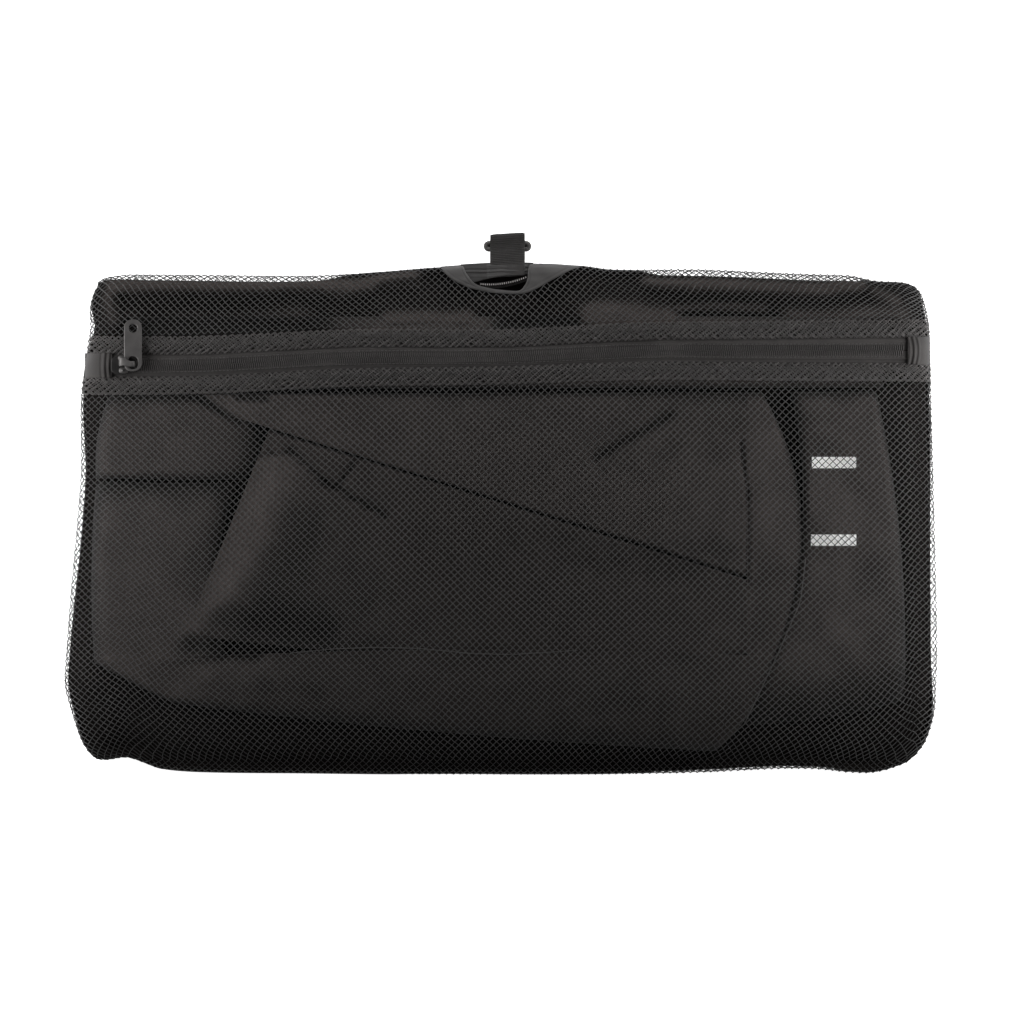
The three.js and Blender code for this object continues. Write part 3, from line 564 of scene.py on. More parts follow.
def along(rows, column, at):
    """Smooth curve through a table's rows: cubic pieces, with each row's slope that of the chord past it."""
    key, value = rows[:, 0], rows[:, column]
    last = len(key) - 1
    i = np.clip(np.searchsorted(key, at, side="right") - 1, 0, last - 1)
    before, after = np.maximum(i - 1, 0), np.minimum(i + 2, last)
    span = key[i + 1] - key[i]
    t = np.clip((at - key[i]) / span, 0, 1)
    slope_a = (value[i + 1] - value[before]) / (key[i + 1] - key[before])
    slope_b = (value[after] - value[i]) / (key[after] - key[i])
    ease = smooth_step(t)
    return (value[i] * (1 - ease) + value[i + 1] * ease
            + span * t * (1 - t) * (slope_a * (1 - t) - slope_b * t))


def left_edge(y):
    """Left edge of the bag: x at a given y, on the curve through its table."""
    return along(SIDE_EDGES, 1, y)


def right_edge(y):
    """Right edge of the bag, in the same way."""
    return along(SIDE_EDGES, 2, y)


def bottom_edge(x):
    """Bottom edge of the bag: y at a given x, on the curve through its table."""
    return along(CROSS_EDGES, 1, x)


def top_edge(x):
    """Top edge of the bag, in the same way."""
    return along(CROSS_EDGES, 2, x)


def zip_y(x):
    """Middle line of the zip: y at a given x."""
    return along(ZIP_LINE, 1, x)


def half_strip(x):
    """Half the height of the strip between the hems."""
    return along(ZIP_LINE, 2, x) / 2


def strip_foot(x):
    """Lower edge of the strip between the hems."""
    return zip_y(x) - half_strip(x)


def strip_head(x):
    """Upper edge of the strip."""
    return zip_y(x) + half_strip(x)


def hem_foot(x):
    """Lower edge of the lower hem."""
    return strip_foot(x) - HEM_WIDTH


def hem_head(x):
    """Upper edge of the upper hem."""
    return strip_head(x) + HEM_WIDTH


def climb(x, y, side, foot, head):
    """Product of three quarter circles: how far a place has come up the slopes from the bag's edges."""
    from_side = np.minimum(x - left_edge(y), right_edge(y) - x)
    from_foot, from_head = y - bottom_edge(x), top_edge(x) - y
    return rounded(from_side / side) * rounded(from_foot / foot) * rounded(from_head / head)


def front_z(x, y):
    """Outer surface of the front: the rim, plus the crown and its Gaussian swells times the climb."""
    rim = SEAM_Z + GAP / 2 + NET_WALL
    crown = CROWN_Z
    for sx, sy, rx, ry, rise in SWELLS:
        crown = crown + rise * np.exp(-((x - sx) / rx) ** 2 - ((y - sy) / ry) ** 2)
    return rim + (crown - rim) * climb(x, y, SIDE_SLOPE, FOOT_SLOPE, HEAD_SLOPE)


def back_z(x, y):
    """Outer surface of the back: flat on the ground, up to the seam at the rim."""
    return (SEAM_Z - GAP / 2 - NET_WALL) * (1 - climb(x, y, BACK_SLOPE, BACK_SLOPE, BACK_SLOPE))


def front_inner_z(x, y):
    """Inner surface of the front: the wall measured straight up, larger where the surface is steep."""
    step = 0.5
    slope_x = (front_z(x + step, y) - front_z(x - step, y)) / (2 * step)
    slope_y = (front_z(x, y + step) - front_z(x, y - step)) / (2 * step)
    wall = NET_WALL * np.minimum(STEEP_WALL, np.sqrt(1 + slope_x ** 2 + slope_y ** 2))
    return np.maximum(front_z(x, y) - wall, SEAM_Z + GAP / 2)


def tape_top(x, y):
    """Upper face of the zip's tapes: a clearance under the front."""
    return front_inner_z(x, y) - GAP


def soft_noise(x, y, size, seed):
    """Smooth random field: seeded values on a square lattice of the given size, blended by smooth steps. The
    lattice repeats, and is counted from well below every place."""
    table = np.random.default_rng(seed).uniform(-1, 1, (NOISE_CELLS, NOISE_CELLS))
    start = 10 * NOISE_CELLS
    gx, gy = x / size + start, y / size + start
    ix, iy = np.floor(gx).astype(int), np.floor(gy).astype(int)
    fx, fy = smooth_step(gx - ix), smooth_step(gy - iy)
    ix, iy, next_x, next_y = (place % NOISE_CELLS for place in (ix, iy, ix + 1, iy + 1))
    low = table[ix, iy] * (1 - fx) + table[next_x, iy] * fx
    high = table[ix, next_y] * (1 - fx) + table[next_x, next_y] * fx
    return low * (1 - fy) + high * fy


def band_place(lower, upper, u, t, left=left_edge, right=right_edge):
    """Place between two lines and the side edges: x by u across and y by t up, settled in turns."""
    y = lower(0 * u) * (1 - t) + upper(0 * u) * t
    for _ in range(SETTLE_TURNS):
        x = left(y) * (1 - u) + right(y) * u
        y = lower(x) * (1 - t) + upper(x) * t
    return x, y


def stack(x, y, z):
    """Points from three arrays of one shape."""
    return np.stack(np.broadcast_arrays(x, y, z), axis=-1).astype(float)


# Shapes: each is a pair of arrays, points and rows of four corners, where a triangle repeats its last one

def grid_faces(count_a, count_b, wrap_a=False, wrap_b=False):
    """Faces of a grid of points whose normal is the first direction crossed with the second."""
    number = np.arange(count_a * count_b).reshape(count_a, count_b)
    a = np.arange(count_a if wrap_a else count_a - 1)[:, None]
    b = np.arange(count_b if wrap_b else count_b - 1)[None, :]
    a1, b1 = (a + 1) % count_a, (b + 1) % count_b
    return np.stack([number[a, b], number[a1, b], number[a1, b1], number[a, b1]], axis=-1).reshape(-1, 4)


def slab_shape(top, bottom):
    """Closed solid between two surfaces over one grid, with a wall round the rim."""
    count_a, count_b = top.shape[:2]
    faces = grid_faces(count_a, count_b)
    number = np.arange(count_a * count_b).reshape(count_a, count_b)
    rim = np.concatenate([number[:-1, 0], number[-1, :-1], number[:0:-1, -1], number[0, :0:-1]])
    after = np.roll(rim, -1)
    layer = count_a * count_b
    wall = np.stack([rim + layer, after + layer, after, rim], axis=-1)
    points = np.concatenate([top.reshape(-1, 3), bottom.reshape(-1, 3)])
    return points, np.concatenate([faces, faces[:, ::-1] + layer, wall])


def join(*shapes):
    """Several shapes as one, with their faces renumbered."""
    offsets = np.cumsum([0] + [len(points) for points, _ in shapes])
    return (np.concatenate([points for points, _ in shapes]),
            np.concatenate([faces + offset for (_, faces), offset in zip(shapes, offsets)]))


def end_cap(ring):
    """Four-sided faces across an even ring of point numbers, in a strip."""
    k = np.arange(len(ring) // 2 - 1)
    return np.stack([ring[k], ring[k + 1], ring[-2 - k], ring[-1 - k]], axis=-1)


def sweep(path, up, profile, closed=False):
    """Profile of side and up distances carried along a path, each place on its own side and up directions."""
    if closed:
        run = unit(np.roll(path, -1, axis=0) - np.roll(path, 1, axis=0))
    else:
        run = unit(np.gradient(path, axis=0))
    side = unit(np.cross(np.broadcast_to(up, path.shape), run))
    rise = np.cross(run, side)
    profile = np.broadcast_to(profile, (len(path),) + profile.shape[-2:])
    points = path[:, None] + profile[..., :1] * side[:, None] + profile[..., 1:] * rise[:, None]
    count = profile.shape[1]
    faces = grid_faces(len(path), count, closed, True)[:, ::-1]
    if not closed:
        first = np.arange(count)
        last = first + count * (len(path) - 1)
        faces = np.concatenate([faces, end_cap(first), end_cap(last[::-1])])
    return points.reshape(-1, 3), faces


def round_profile(radius, sides):
    """Points of a circle, as side and up distances."""
    angle = np.linspace(0, 2 * np.pi, sides, endpoint=False)
    return radius * np.stack([np.cos(angle), np.sin(angle)], axis=-1)


def soft_box_profile(width, height, power, sides):
    """Superellipse: a box whose corners are rounded more the nearer the power is to 2."""
    angle = np.linspace(0, 2 * np.pi, sides, endpoint=False) + np.pi / sides
    cosine, sine = np.cos(angle), np.sin(angle)
    return np.stack([width / 2 * np.sign(cosine) * np.abs(cosine) ** (2 / power),
                     height / 2 * np.sign(sine) * np.abs(sine) ** (2 / power)], axis=-1)


def bead_bar(sides, stations):
    """Bar of length 1 and radius 1 along the first axis whose radius falls to blunt ends as an ellipse."""
    reach, blunt = 0.54, 0.05
    at = np.linspace(-0.5, 0.5, stations)
    radius = np.sqrt(np.clip(1 - (at / reach) ** 2, blunt, 1))
    path = stack(at, 0 * at, 0 * at)
    return sweep(path, Z_WAY, round_profile(1, sides)[None] * radius[:, None, None])


def scatter(shape, origin, run, side, up):
    """Copies of one small shape, one at each origin, on that place's own three directions and lengths."""
    points, faces = shape
    copies = (origin[:, None] + points[None, :, :1] * run[:, None] + points[None, :, 1:2] * side[:, None]
              + points[None, :, 2:] * up[:, None])
    shift = np.arange(len(origin))[:, None, None] * len(points)
    return copies.reshape(-1, 3), (faces[None] + shift).reshape(-1, faces.shape[1])


def stitch_row(path, up, length, gap, radius):
    """Thread stitches at even steps along a path: short bars that lie on it, with a gap between two."""
    def place_at(distance):
        """Place at a distance along the path, straight between its points."""
        return np.stack([np.interp(distance, reach, path[:, k]) for k in range(3)], axis=-1)

    look = 0.5
    steps = np.linalg.norm(np.diff(path, axis=0), axis=1)
    reach = np.concatenate([[0], np.cumsum(steps)])
    count = int(reach[-1] / (length + gap))
    middle = (np.arange(count) + 0.5) * reach[-1] / count
    run = unit(place_at(middle + look) - place_at(middle - look))
    side = unit(np.cross(np.broadcast_to(up, run.shape), run))
    rise = np.cross(run, side)
    return scatter(bead_bar(4, 4), place_at(middle), run * length, side * radius, rise * radius)


def even_arc(length, reach_start, reach_end, rise, step):
    """Fractions of a width that cut the cloth over it into even steps: the cloth climbs a quarter ellipse of
    the given reach at each end, and the steps are even along its arc."""
    at = np.linspace(0, length, ARC_STEPS + 1)
    height = np.full_like(at, rise)
    if reach_start:
        height = height * rounded(at / reach_start)
    if reach_end:
        height = height * rounded((length - at) / reach_end)
    arc = np.concatenate([[0], np.cumsum(np.hypot(np.diff(at), np.diff(height)))])
    count = 2 * round(arc[-1] / (2 * step))
    return np.interp(np.linspace(0, arc[-1], count + 1), arc, at) / length


def strand_lattice(points, radius, weave, keep, lead):
    """Diamond net over a grid of half cells: through every second node run two strands, one each way along
    the diagonals. A strand is a three-sided tube with a ring at each node, and the two pass over and under
    each other from node to node. Where lead is 1 the rising diagonals lie higher and are thicker, where it is
    -1 the falling ones."""
    count_a, count_b = points.shape[:2]
    across, upward = np.gradient(points, axis=0), np.gradient(points, axis=1)
    normal = unit(np.cross(across, upward))
    a, b = np.meshgrid(np.arange(count_a), np.arange(count_b), indexing="ij")
    node = ((a + b) % 2 == 0) & keep
    number = np.cumsum(node.ravel()).reshape(node.shape) - 1
    corner = np.arange(STRAND_SIDES)
    angle = np.pi / 2 + corner * 2 * np.pi / STRAND_SIDES
    shapes = []
    for turn in (1, -1):
        side = np.cross(normal, unit(across + turn * upward))
        over = weave * turn * np.where(a % 2 == 0, 1, -1) + LEAD_LIFT * turn * lead
        size = (radius * (1 + LEAD_SIZE * turn * lead))[..., None, None]
        centre = points + normal * over[..., None]
        ring = centre[:, :, None] + size * (np.cos(angle)[:, None] * side[:, :, None]
                                            + np.sin(angle)[:, None] * normal[:, :, None])
        start = (slice(None, -1), slice(None, -1)) if turn == 1 else (slice(None, -1), slice(1, None))
        finish = (slice(1, None), slice(1, None)) if turn == 1 else (slice(1, None), slice(None, -1))
        both = node[start] & node[finish]
        first, second = (number[part][both][:, None] * STRAND_SIDES for part in (start, finish))
        after = (corner + 1) % STRAND_SIDES
        faces = np.stack([first + corner, first + after, second + after, second + corner], axis=-1)
        shapes.append((ring[node].reshape(-1, 3), faces.reshape(-1, 4)))
    return only_used(*join(*shapes))


def only_used(points, faces):
    """The same faces without the points that none of them has."""
    used, renumbered = np.unique(faces, return_inverse=True)
    return points[used], renumbered.reshape(faces.shape)


# Materials

def add_node(tree, kind, inputs=None, **settings):
    """A node with its settings, and its inputs set to values or linked to sockets."""
    made = tree.nodes.new(kind)
    for name, value in settings.items():
        setattr(made, name, value)
    for name, value in (inputs or {}).items():
        if isinstance(value, bpy.types.NodeSocket):
            tree.links.new(value, made.inputs[name])
        else:
            made.inputs[name].default_value = value
    return made


def new_material(name):
    """Empty material with a principled shader, and the object coordinates."""
    material = bpy.data.materials.new(name)
    material.use_nodes = True
    tree = material.node_tree
    shader = tree.nodes["Principled BSDF"]
    place = add_node(tree, "ShaderNodeTexCoord").outputs["Object"]
    return material, tree, shader, place


def noise_of(tree, place, size, detail):
    """Noise of the given size in millimetres."""
    return add_node(tree, "ShaderNodeTexNoise", {"Vector": place, "Scale": 1 / (size * MM), "Detail": detail})


def two_tone(tree, place, dark, light, size):
    """Mottle between two colours from noise of the given size in millimetres."""
    noise = noise_of(tree, place, size, MOTTLE_DETAIL)
    ramp = add_node(tree, "ShaderNodeValToRGB", {"Fac": noise.outputs["Fac"]})
    for stop, at, colour in zip(ramp.color_ramp.elements, MOTTLE_RAMP, (dark, light)):
        stop.position = at
        stop.color = (*colour, 1)
    return ramp.outputs["Color"]


def weave_height(tree, place, pitch):
    """Plain weave: the product of two crossing rows of waves at the given pitch in millimetres."""
    waves = {"Vector": place, "Scale": WAVE_BAND / (pitch * MM), "Distortion": WEAVE_STRAY, "Detail": 1.0}
    rows = [add_node(tree, "ShaderNodeTexWave", waves, bands_direction=axis).outputs["Fac"] for axis in "XY"]
    return add_node(tree, "ShaderNodeMath", {0: rows[0], 1: rows[1]}, operation="MULTIPLY").outputs[0]


def add_heights(tree, first, second, share):
    """First height plus a share of the second."""
    return add_node(tree, "ShaderNodeMath", {0: second, 1: share, 2: first},
                    operation="MULTIPLY_ADD").outputs[0]


def grey(level, warmth):
    """Slightly warm grey of a given level."""
    return (level * (1 + warmth), level * (1 - warmth / 2), level * (1 - warmth))


def finish_shader(tree, shader, colour, height, strength, relief, values):
    """Gives a shader its colour, a bump of a strength and a relief in millimetres, and its other values."""
    bump = add_node(tree, "ShaderNodeBump", {"Height": height, "Strength": strength, "Distance": relief * MM})
    tree.links.new(colour, shader.inputs["Base Color"])
    tree.links.new(bump.outputs["Normal"], shader.inputs["Normal"])
    for name, value in values.items():
        shader.inputs[name].default_value = value


def cloth_material(name, dark, light, warmth, mottle, pitch, relief, roughness, sheen, gloss, takes_painted_shade):
    """Woven cloth: mottled colour, a weave and a soft crumple as bump, and a slight sheen. Cloth that takes
    painted shade is darker where its points' own tone is lower, a painted shade for depth under the net."""
    material, tree, shader, place = new_material(name)
    crumple = noise_of(tree, place, CRUMPLE_SIZE, CRUMPLE_DETAIL)
    crumple.inputs["Roughness"].default_value = CRUMPLE_ROUGH
    height = add_heights(tree, weave_height(tree, place, pitch), crumple.outputs["Fac"], CRUMPLE_SHARE)
    colour = two_tone(tree, place, grey(dark, warmth), grey(light, warmth), mottle)
    # Painted shade: the colour is scaled by the tone attribute, darker where the cloth lies deeper
    if takes_painted_shade:
        tone = add_node(tree, "ShaderNodeAttribute", attribute_name="tone").outputs["Fac"]
        scaled = add_node(tree, "ShaderNodeVectorMath", {0: colour, "Scale": tone}, operation="SCALE")
        colour = scaled.outputs[0]
    finish_shader(tree, shader, colour, height, CLOTH_BUMP, relief,
                  {"Roughness": roughness, "Sheen Weight": sheen, "Specular IOR Level": gloss})
    return material


def strand_material(name, dark, light, warmth):
    """Twisted yarn: mottle in strands' own size, and fine twist lines as bump."""
    material, tree, shader, place = new_material(name)
    twist = noise_of(tree, place, TWIST_SIZE, 2.0)
    colour = two_tone(tree, place, grey(dark, warmth), grey(light, warmth), YARN_MOTTLE)
    finish_shader(tree, shader, colour, twist.outputs["Fac"], TWIST_BUMP, TWIST_RELIEF,
                  {"Roughness": 0.65, "Sheen Weight": 0.1, "Specular IOR Level": 0.3})
    return material


def metal_material(name, dark, light, warmth, roughness):
    """Satin dark plating: slight mottle, and fine scratches along the piece as bump."""
    material, tree, shader, place = new_material(name)
    drawn = add_node(tree, "ShaderNodeMapping", {"Vector": place, "Scale": SCRATCH_DRAW}).outputs["Vector"]
    scratch = noise_of(tree, drawn, SCRATCH_SIZE, 3.0)
    colour = two_tone(tree, place, grey(dark, warmth), grey(light, warmth), METAL_MOTTLE)
    finish_shader(tree, shader, colour, scratch.outputs["Fac"], SCRATCH_BUMP, SCRATCH_RELIEF,
                  {"Metallic": 0.75, "Roughness": roughness})
    return material


def add_bars(material):
    """Pale bars over a cloth's colour: each is where both distances from its middle are under its halves."""
    first_colour, second_colour, mixed_colour = 6, 7, 2
    tree = material.node_tree
    base = tree.nodes["Principled BSDF"].inputs["Base Color"]
    place = add_node(tree, "ShaderNodeSeparateXYZ",
                     {"Vector": add_node(tree, "ShaderNodeTexCoord").outputs["Object"]})
    colour = base.links[0].from_socket
    for middle_x, middle_y, half_x, half_y in BARS:
        within = []
        for axis, middle, half in (("X", middle_x, half_x), ("Y", middle_y, half_y)):
            near = add_node(tree, "ShaderNodeMath", {0: place.outputs[axis], 1: middle * MM, 2: half * MM},
                            operation="COMPARE")
            within.append(near.outputs[0])
        both = add_node(tree, "ShaderNodeMath", {0: within[0], 1: within[1]}, operation="MULTIPLY").outputs[0]
        mixed = add_node(tree, "ShaderNodeMix",
                         {"Factor": both, first_colour: colour, second_colour: BAR_COLOUR}, data_type="RGBA")
        colour = mixed.outputs[mixed_colour]
    tree.links.new(colour, base)


MATERIALS = {name: cloth_material(name, *row) for name, row in CLOTHS.items()}
MATERIALS.update({name: strand_material(name, *row) for name, row in YARNS.items()})
MATERIALS.update({name: metal_material(name, *row) for name, row in METALS.items()})
add_bars(MATERIALS["marked_cloth"])


def make_piece(name, shape, material, stands_for=(), body="bag", tone=None):
    """Smooth mesh from a shape's arrays, in metres, with a material by its name, that rides on a body and
    stands for the nodes named. A tone for each point, painted shade on the cloth's colour, is kept as an
    attribute that the material reads."""
    points, faces = shape
    kept = np.full(faces.shape, True)
    kept[:, 3] = faces[:, 3] != faces[:, 2]
    corners = kept.sum(axis=1)
    mesh = bpy.data.meshes.new(name)
    mesh.vertices.add(len(points))
    mesh.vertices.foreach_set("co", (points * MM).astype(np.float32).ravel())
    mesh.loops.add(int(corners.sum()))
    mesh.loops.foreach_set("vertex_index", faces[kept].astype(np.int32))
    mesh.polygons.add(len(faces))
    mesh.polygons.foreach_set("loop_start", (np.cumsum(corners) - corners).astype(np.int32))
    mesh.polygons.foreach_set("use_smooth", np.full(len(faces), True))
    mesh.update(calc_edges=True)
    if tone is not None:
        mesh.attributes.new("tone", "FLOAT", "POINT").data.foreach_set("value", tone.astype(np.float32))
    mesh.materials.append(MATERIALS[material])
    piece = bpy.data.objects.new(name, mesh)
    bpy.context.scene.collection.objects.link(piece)
    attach(piece, body)
    if stands_for:
        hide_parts(*stands_for)
    return piece


# Net panels

def rim_distance(x, y):
    """Smallest of the distances to the bag's four edges."""
    return np.minimum(np.minimum(x - left_edge(y), right_edge(y) - x),
                      np.minimum(y - bottom_edge(x), top_edge(x) - y))


def wander(x, y):
    """Small slow drift of the net's rows, from two noises each way, that dies out at the bag's rim."""
    free = np.clip(rim_distance(x, y) / RIM_REACH, 0, 1)
    shift_x = sum(amount * soft_noise(x, y, size, seed) for amount, size, seed, _, _ in DRIFTS)
    shift_y = sum(amount * soft_noise(x, y, size, seed) for amount, _, _, size, seed in DRIFTS)
    return x + free * shift_x, y + free * shift_y


def lead_of(x, y):
    """Which diagonals lead: the falling ones at the left, the rising ones at the right, with slow drift."""
    return np.clip(x / LEAD_SPAN + LEAD_DRIFT * soft_noise(x, y, 45, seed=15), -LEAD_MOST, LEAD_MOST)


# Columns of the front's net, as fractions of its width
ACROSS = even_arc(BAG_WIDTH, SIDE_SLOPE, SIDE_SLOPE, SIDE_RISE, NET_CELL[0])


def strand_size(x, y):
    """Radius of the strands: larger at the bag's rim, where the net is drawn together, by a square fall."""
    return STRAND * (1 + RIM_SWELL * (1 - np.clip(rim_distance(x, y) / RIM_REACH, 0, 1)) ** 2)


def net_front():
    """Net from the bottom edge to the lower hem, on the front surface."""
    up = even_arc(PANEL_HEIGHT, FOOT_SLOPE, 0, CLOTH_RISE, NET_CELL[1])
    u, t = np.meshgrid(ACROSS, up, indexing="ij")
    x, y = wander(*band_place(bottom_edge, lambda at: hem_foot(at) - GAP, u, t))
    points = stack(x, y, front_z(x, y) - STRAND)
    return strand_lattice(points, strand_size(x, y), STRAND_WEAVE, np.full(x.shape, True), lead_of(x, y))


def net_top():
    """Net from the upper hem to the top edge, without the half-moon that is cut from it."""
    up = even_arc(TOP_HEIGHT, 0, HEAD_SLOPE, CLOTH_RISE, NET_CELL[1])
    u, t = np.meshgrid(ACROSS, up, indexing="ij")
    x, y = wander(*band_place(lambda at: hem_head(at) + GAP, top_edge, u, t))
    points = stack(x, y, front_z(x, y) - STRAND)
    in_mouth = (x > MOUTH[0, 0]) & (x < MOUTH[-1, 0]) & (y > along(MOUTH, 1, x) + MOUTH_ROOM)
    return strand_lattice(points, strand_size(x, y), STRAND_WEAVE, ~in_mouth, lead_of(x, y))


def pack_foot(x):
    """Bottom edge of the bundle: the bag's, less the space between them."""
    return bottom_edge(x) + along(CROSS_SPACE, 1, x)


def pack_head(x):
    """Top edge of the bundle, in the same way."""
    return top_edge(x) - along(CROSS_SPACE, 2, x)


def pack_left(y):
    """Left edge of the bundle, in the same way."""
    return left_edge(y) + along(SIDE_SPACE, 1, y)


def pack_right(y):
    """Right edge of the bundle, in the same way."""
    return right_edge(y) - along(SIDE_SPACE, 2, y)


def way_round(foot, head, left, right):
    """Way round a four-sided outline from its lower left corner: along the foot, up, back along the head,
    and down."""
    across = np.linspace(0, 1, RIM_ACROSS, endpoint=False)
    upward = np.linspace(0, 1, RIM_UP, endpoint=False)
    u = np.concatenate([across, 0 * upward + 1, 1 - across, 0 * upward])
    t = np.concatenate([0 * across, upward, 0 * across + 1, 1 - upward])
    return band_place(foot, head, u, t, left, right)


def seam_line():
    """Line round the back where its net meets the pack's edge."""
    x, y = way_round(pack_foot, pack_head, pack_left, pack_right)
    return stack(x, y, back_z(x, y) + STRAND + STRAND_WEAVE)


def turned_rim():
    """Net from the rim of the front down and in to the seam line, straight between the two, with a space
    under the lip of the opening."""
    x, y = way_round(bottom_edge, top_edge, left_edge, right_edge)
    rim = stack(x, y, front_z(x, y) - STRAND)
    share = np.linspace(0, 1, RIM_ROWS)[None, :, None]
    points = rim[:, None] * (1 - share) + seam_line()[:, None] * share
    points = np.concatenate([points, points[:1]])
    at_x, at_y = points[..., 0], points[..., 1]
    under_lip = (at_x > LIP_HEAD[0] - LIP_CLEAR) & (at_x < LIP_HEAD[1] + LIP_CLEAR) & (at_y > 0)
    return strand_lattice(points, RIM_STRAND, STRAND_WEAVE, ~under_lip, 0 * at_x)


def net_back():
    """Net of the back: flat on the ground, up to the seam line, and turned out to the rim of the front."""
    across = even_arc(BAG_WIDTH, BACK_SLOPE, BACK_SLOPE, SEAM_Z, BACK_CELL[0])
    up = even_arc(BAG_HEIGHT, BACK_SLOPE, BACK_SLOPE, SEAM_Z, BACK_CELL[1])
    u, t = np.meshgrid(across, up, indexing="ij")
    x, y = band_place(pack_foot, pack_head, u, t, pack_left, pack_right)
    points = stack(x, y, back_z(x, y) + STRAND + STRAND_WEAVE)
    flat = strand_lattice(points, STRAND, STRAND_WEAVE, np.full(x.shape, True), 0 * x)
    return join(flat, turned_rim())


def hem(lower, upper, folded):
    """Net folded on itself: several lattices over one band, each shifted and leaning its own way, that turn
    down at the side that is folded, 0 for the lower and 1 for the upper."""
    up = np.linspace(0, 1, 2 * round(HEM_WIDTH / (2 * NET_CELL[1])) + 1)
    u, t = np.meshgrid(ACROSS, up, indexing="ij")
    turn = HEM_TURN * (1 - rounded(np.abs(t - folded) * HEM_WIDTH / HEM_TURN_REACH))
    shapes = []
    for shift_x, shift_y, lean, height, lead in HEM_LAYERS:
        x, y = band_place(lower, upper, u, np.clip(t + shift_y * HEM_SHIFT * np.sin(np.pi * t), 0, 1))
        free = np.clip(rim_distance(x, y) / RIM_REACH, 0, 1)
        drift = HEM_DRIFT * soft_noise(x, y, HEM_GRAIN, seed=21)
        x = x + free * (shift_x * NET_CELL[0] + lean * (t - 0.5) * HEM_WIDTH + drift)
        ripple = HEM_RIPPLE * soft_noise(x, y, HEM_GRAIN, seed=22)
        points = stack(x, y, front_z(x, y) + height + ripple - turn - STRAND)
        shapes.append(strand_lattice(points, STRAND, STRAND_WEAVE, np.full(x.shape, True), lead + 0 * x))
    return join(*shapes)


def back_seam():
    """Cord along the seam line."""
    return sweep(seam_line(), Z_WAY, round_profile(SEAM_CORD, 6), closed=True)


net_front_piece = make_piece("net_front_strands", net_front(), "net_yarn", ["net_front"])
net_top_piece = make_piece("net_top_strands", net_top(), "net_yarn", ["net_top"])
net_back_piece = make_piece("net_back_strands", net_back(), "net_yarn", ["net_back"])
hem_lower_piece = make_piece("hem_lower_layers", hem(hem_foot, strip_foot, 1),
                             "hem_yarn", ["hem_lower"])
hem_upper_piece = make_piece("hem_upper_layers", hem(strip_head, hem_head, 0),
                             "hem_yarn", ["hem_upper"])
make_piece("back_seam", back_seam(), "seam_thread")


# Zip: tapes, coil and stitches

def strip_grid(from_x, to_x, lower, upper, step, rows):
    """Grid between two lines from one x to another, and its fractions t across."""
    count = max(2, round((to_x - from_x) / step))
    u, t = np.meshgrid(np.linspace(0, 1, count + 1), np.linspace(0, 1, rows), indexing="ij")
    x = from_x + (to_x - from_x) * u
    return x, lower(x) * (1 - t) + upper(x) * t, t


def tape_gap(x):
    """Half the space between the tapes: closed right of the slider, open round its nose."""
    opened = SLIDER_NOSE / 2 + GAP + NOSE_ROOM
    return opened + (GAP / 2 - opened) * np.clip((x - SLIDER_X + TAPES_PART) / TAPES_CLOSE, 0, 1)


def zip_tape(side):
    """Woven tape from the coil to under the hem, with ridges along it, slow waves, and a dip by the hem."""
    def inner(x):
        """Edge at the coil."""
        return zip_y(x) + side * tape_gap(x)

    def outer(x):
        """Edge under the hem."""
        return zip_y(x) + side * (half_strip(x) + TAPE_UNDER_HEM)

    lines = (outer, inner) if side < 0 else (inner, outer)
    x, y, _ = strip_grid(ZIP_START, ZIP_END, *lines, TAPE_STEP, TAPE_ROWS)
    from_middle = np.abs(y - zip_y(x))
    ridged = np.clip((from_middle - RIDGE_FROM) / RIDGE_EASE, 0, 1)
    ridge = RIDGE * np.sin(2 * np.pi * from_middle / RIDGE_PITCH) * ridged
    wave = sum(amount * soft_noise(x, y, size, seed) for amount, size, seed in TAPE_WAVES)
    dip = TAPE_DIP * np.clip((from_middle - half_strip(x) + DIP_FROM[side]) / DIP_EASE, 0, 1)
    top = tape_top(x, y) + ridge + wave - dip
    bottom = np.minimum(tape_top(x, y) - TAPE_THICK, top - TAPE_LEAST)
    return slab_shape(stack(x, y, top), stack(x, y, bottom))


def zip_coil():
    """Teeth of the coil: two rows of low bars across the zip, one each side of the middle line, half a
    pitch apart, each falling a little to its outer end."""
    start = SLIDER_X - COIL_START
    count = int((COIL_END - start) / TOOTH_PITCH)
    shapes = []
    for side in (-1, 1):
        x = start + (np.arange(count) + 0.5 + side / 4) * TOOTH_PITCH
        y = zip_y(x) + side * (TOOTH_LENGTH / 2 - TOOTH_LAP)
        z = tape_top(x, zip_y(x)) + TOOTH_LIFT
        run = np.array([(TOOTH_LEAN, side * TOOTH_LENGTH, -TOOTH_FALL)])
        wide, tall = -side * TOOTH_HALF_WIDE * X_WAY[None], TOOTH_HALF_TALL * Z_WAY[None]
        shapes.append(scatter(bead_bar(6, 5), stack(x, y, z), run, wide, tall))
    return join(*shapes)


def coil_stitches():
    """A row of thread each side of the coil."""
    x = np.linspace(SLIDER_X + THREAD_START, COIL_END, 240)
    shapes = []
    for away in (-THREAD_AWAY, THREAD_AWAY):
        y = zip_y(x) + away
        path = stack(x, y, tape_top(x, y) + THREAD_LIFT)
        shapes.append(stitch_row(path, Z_WAY, *THREAD_STITCH))
    return join(*shapes)


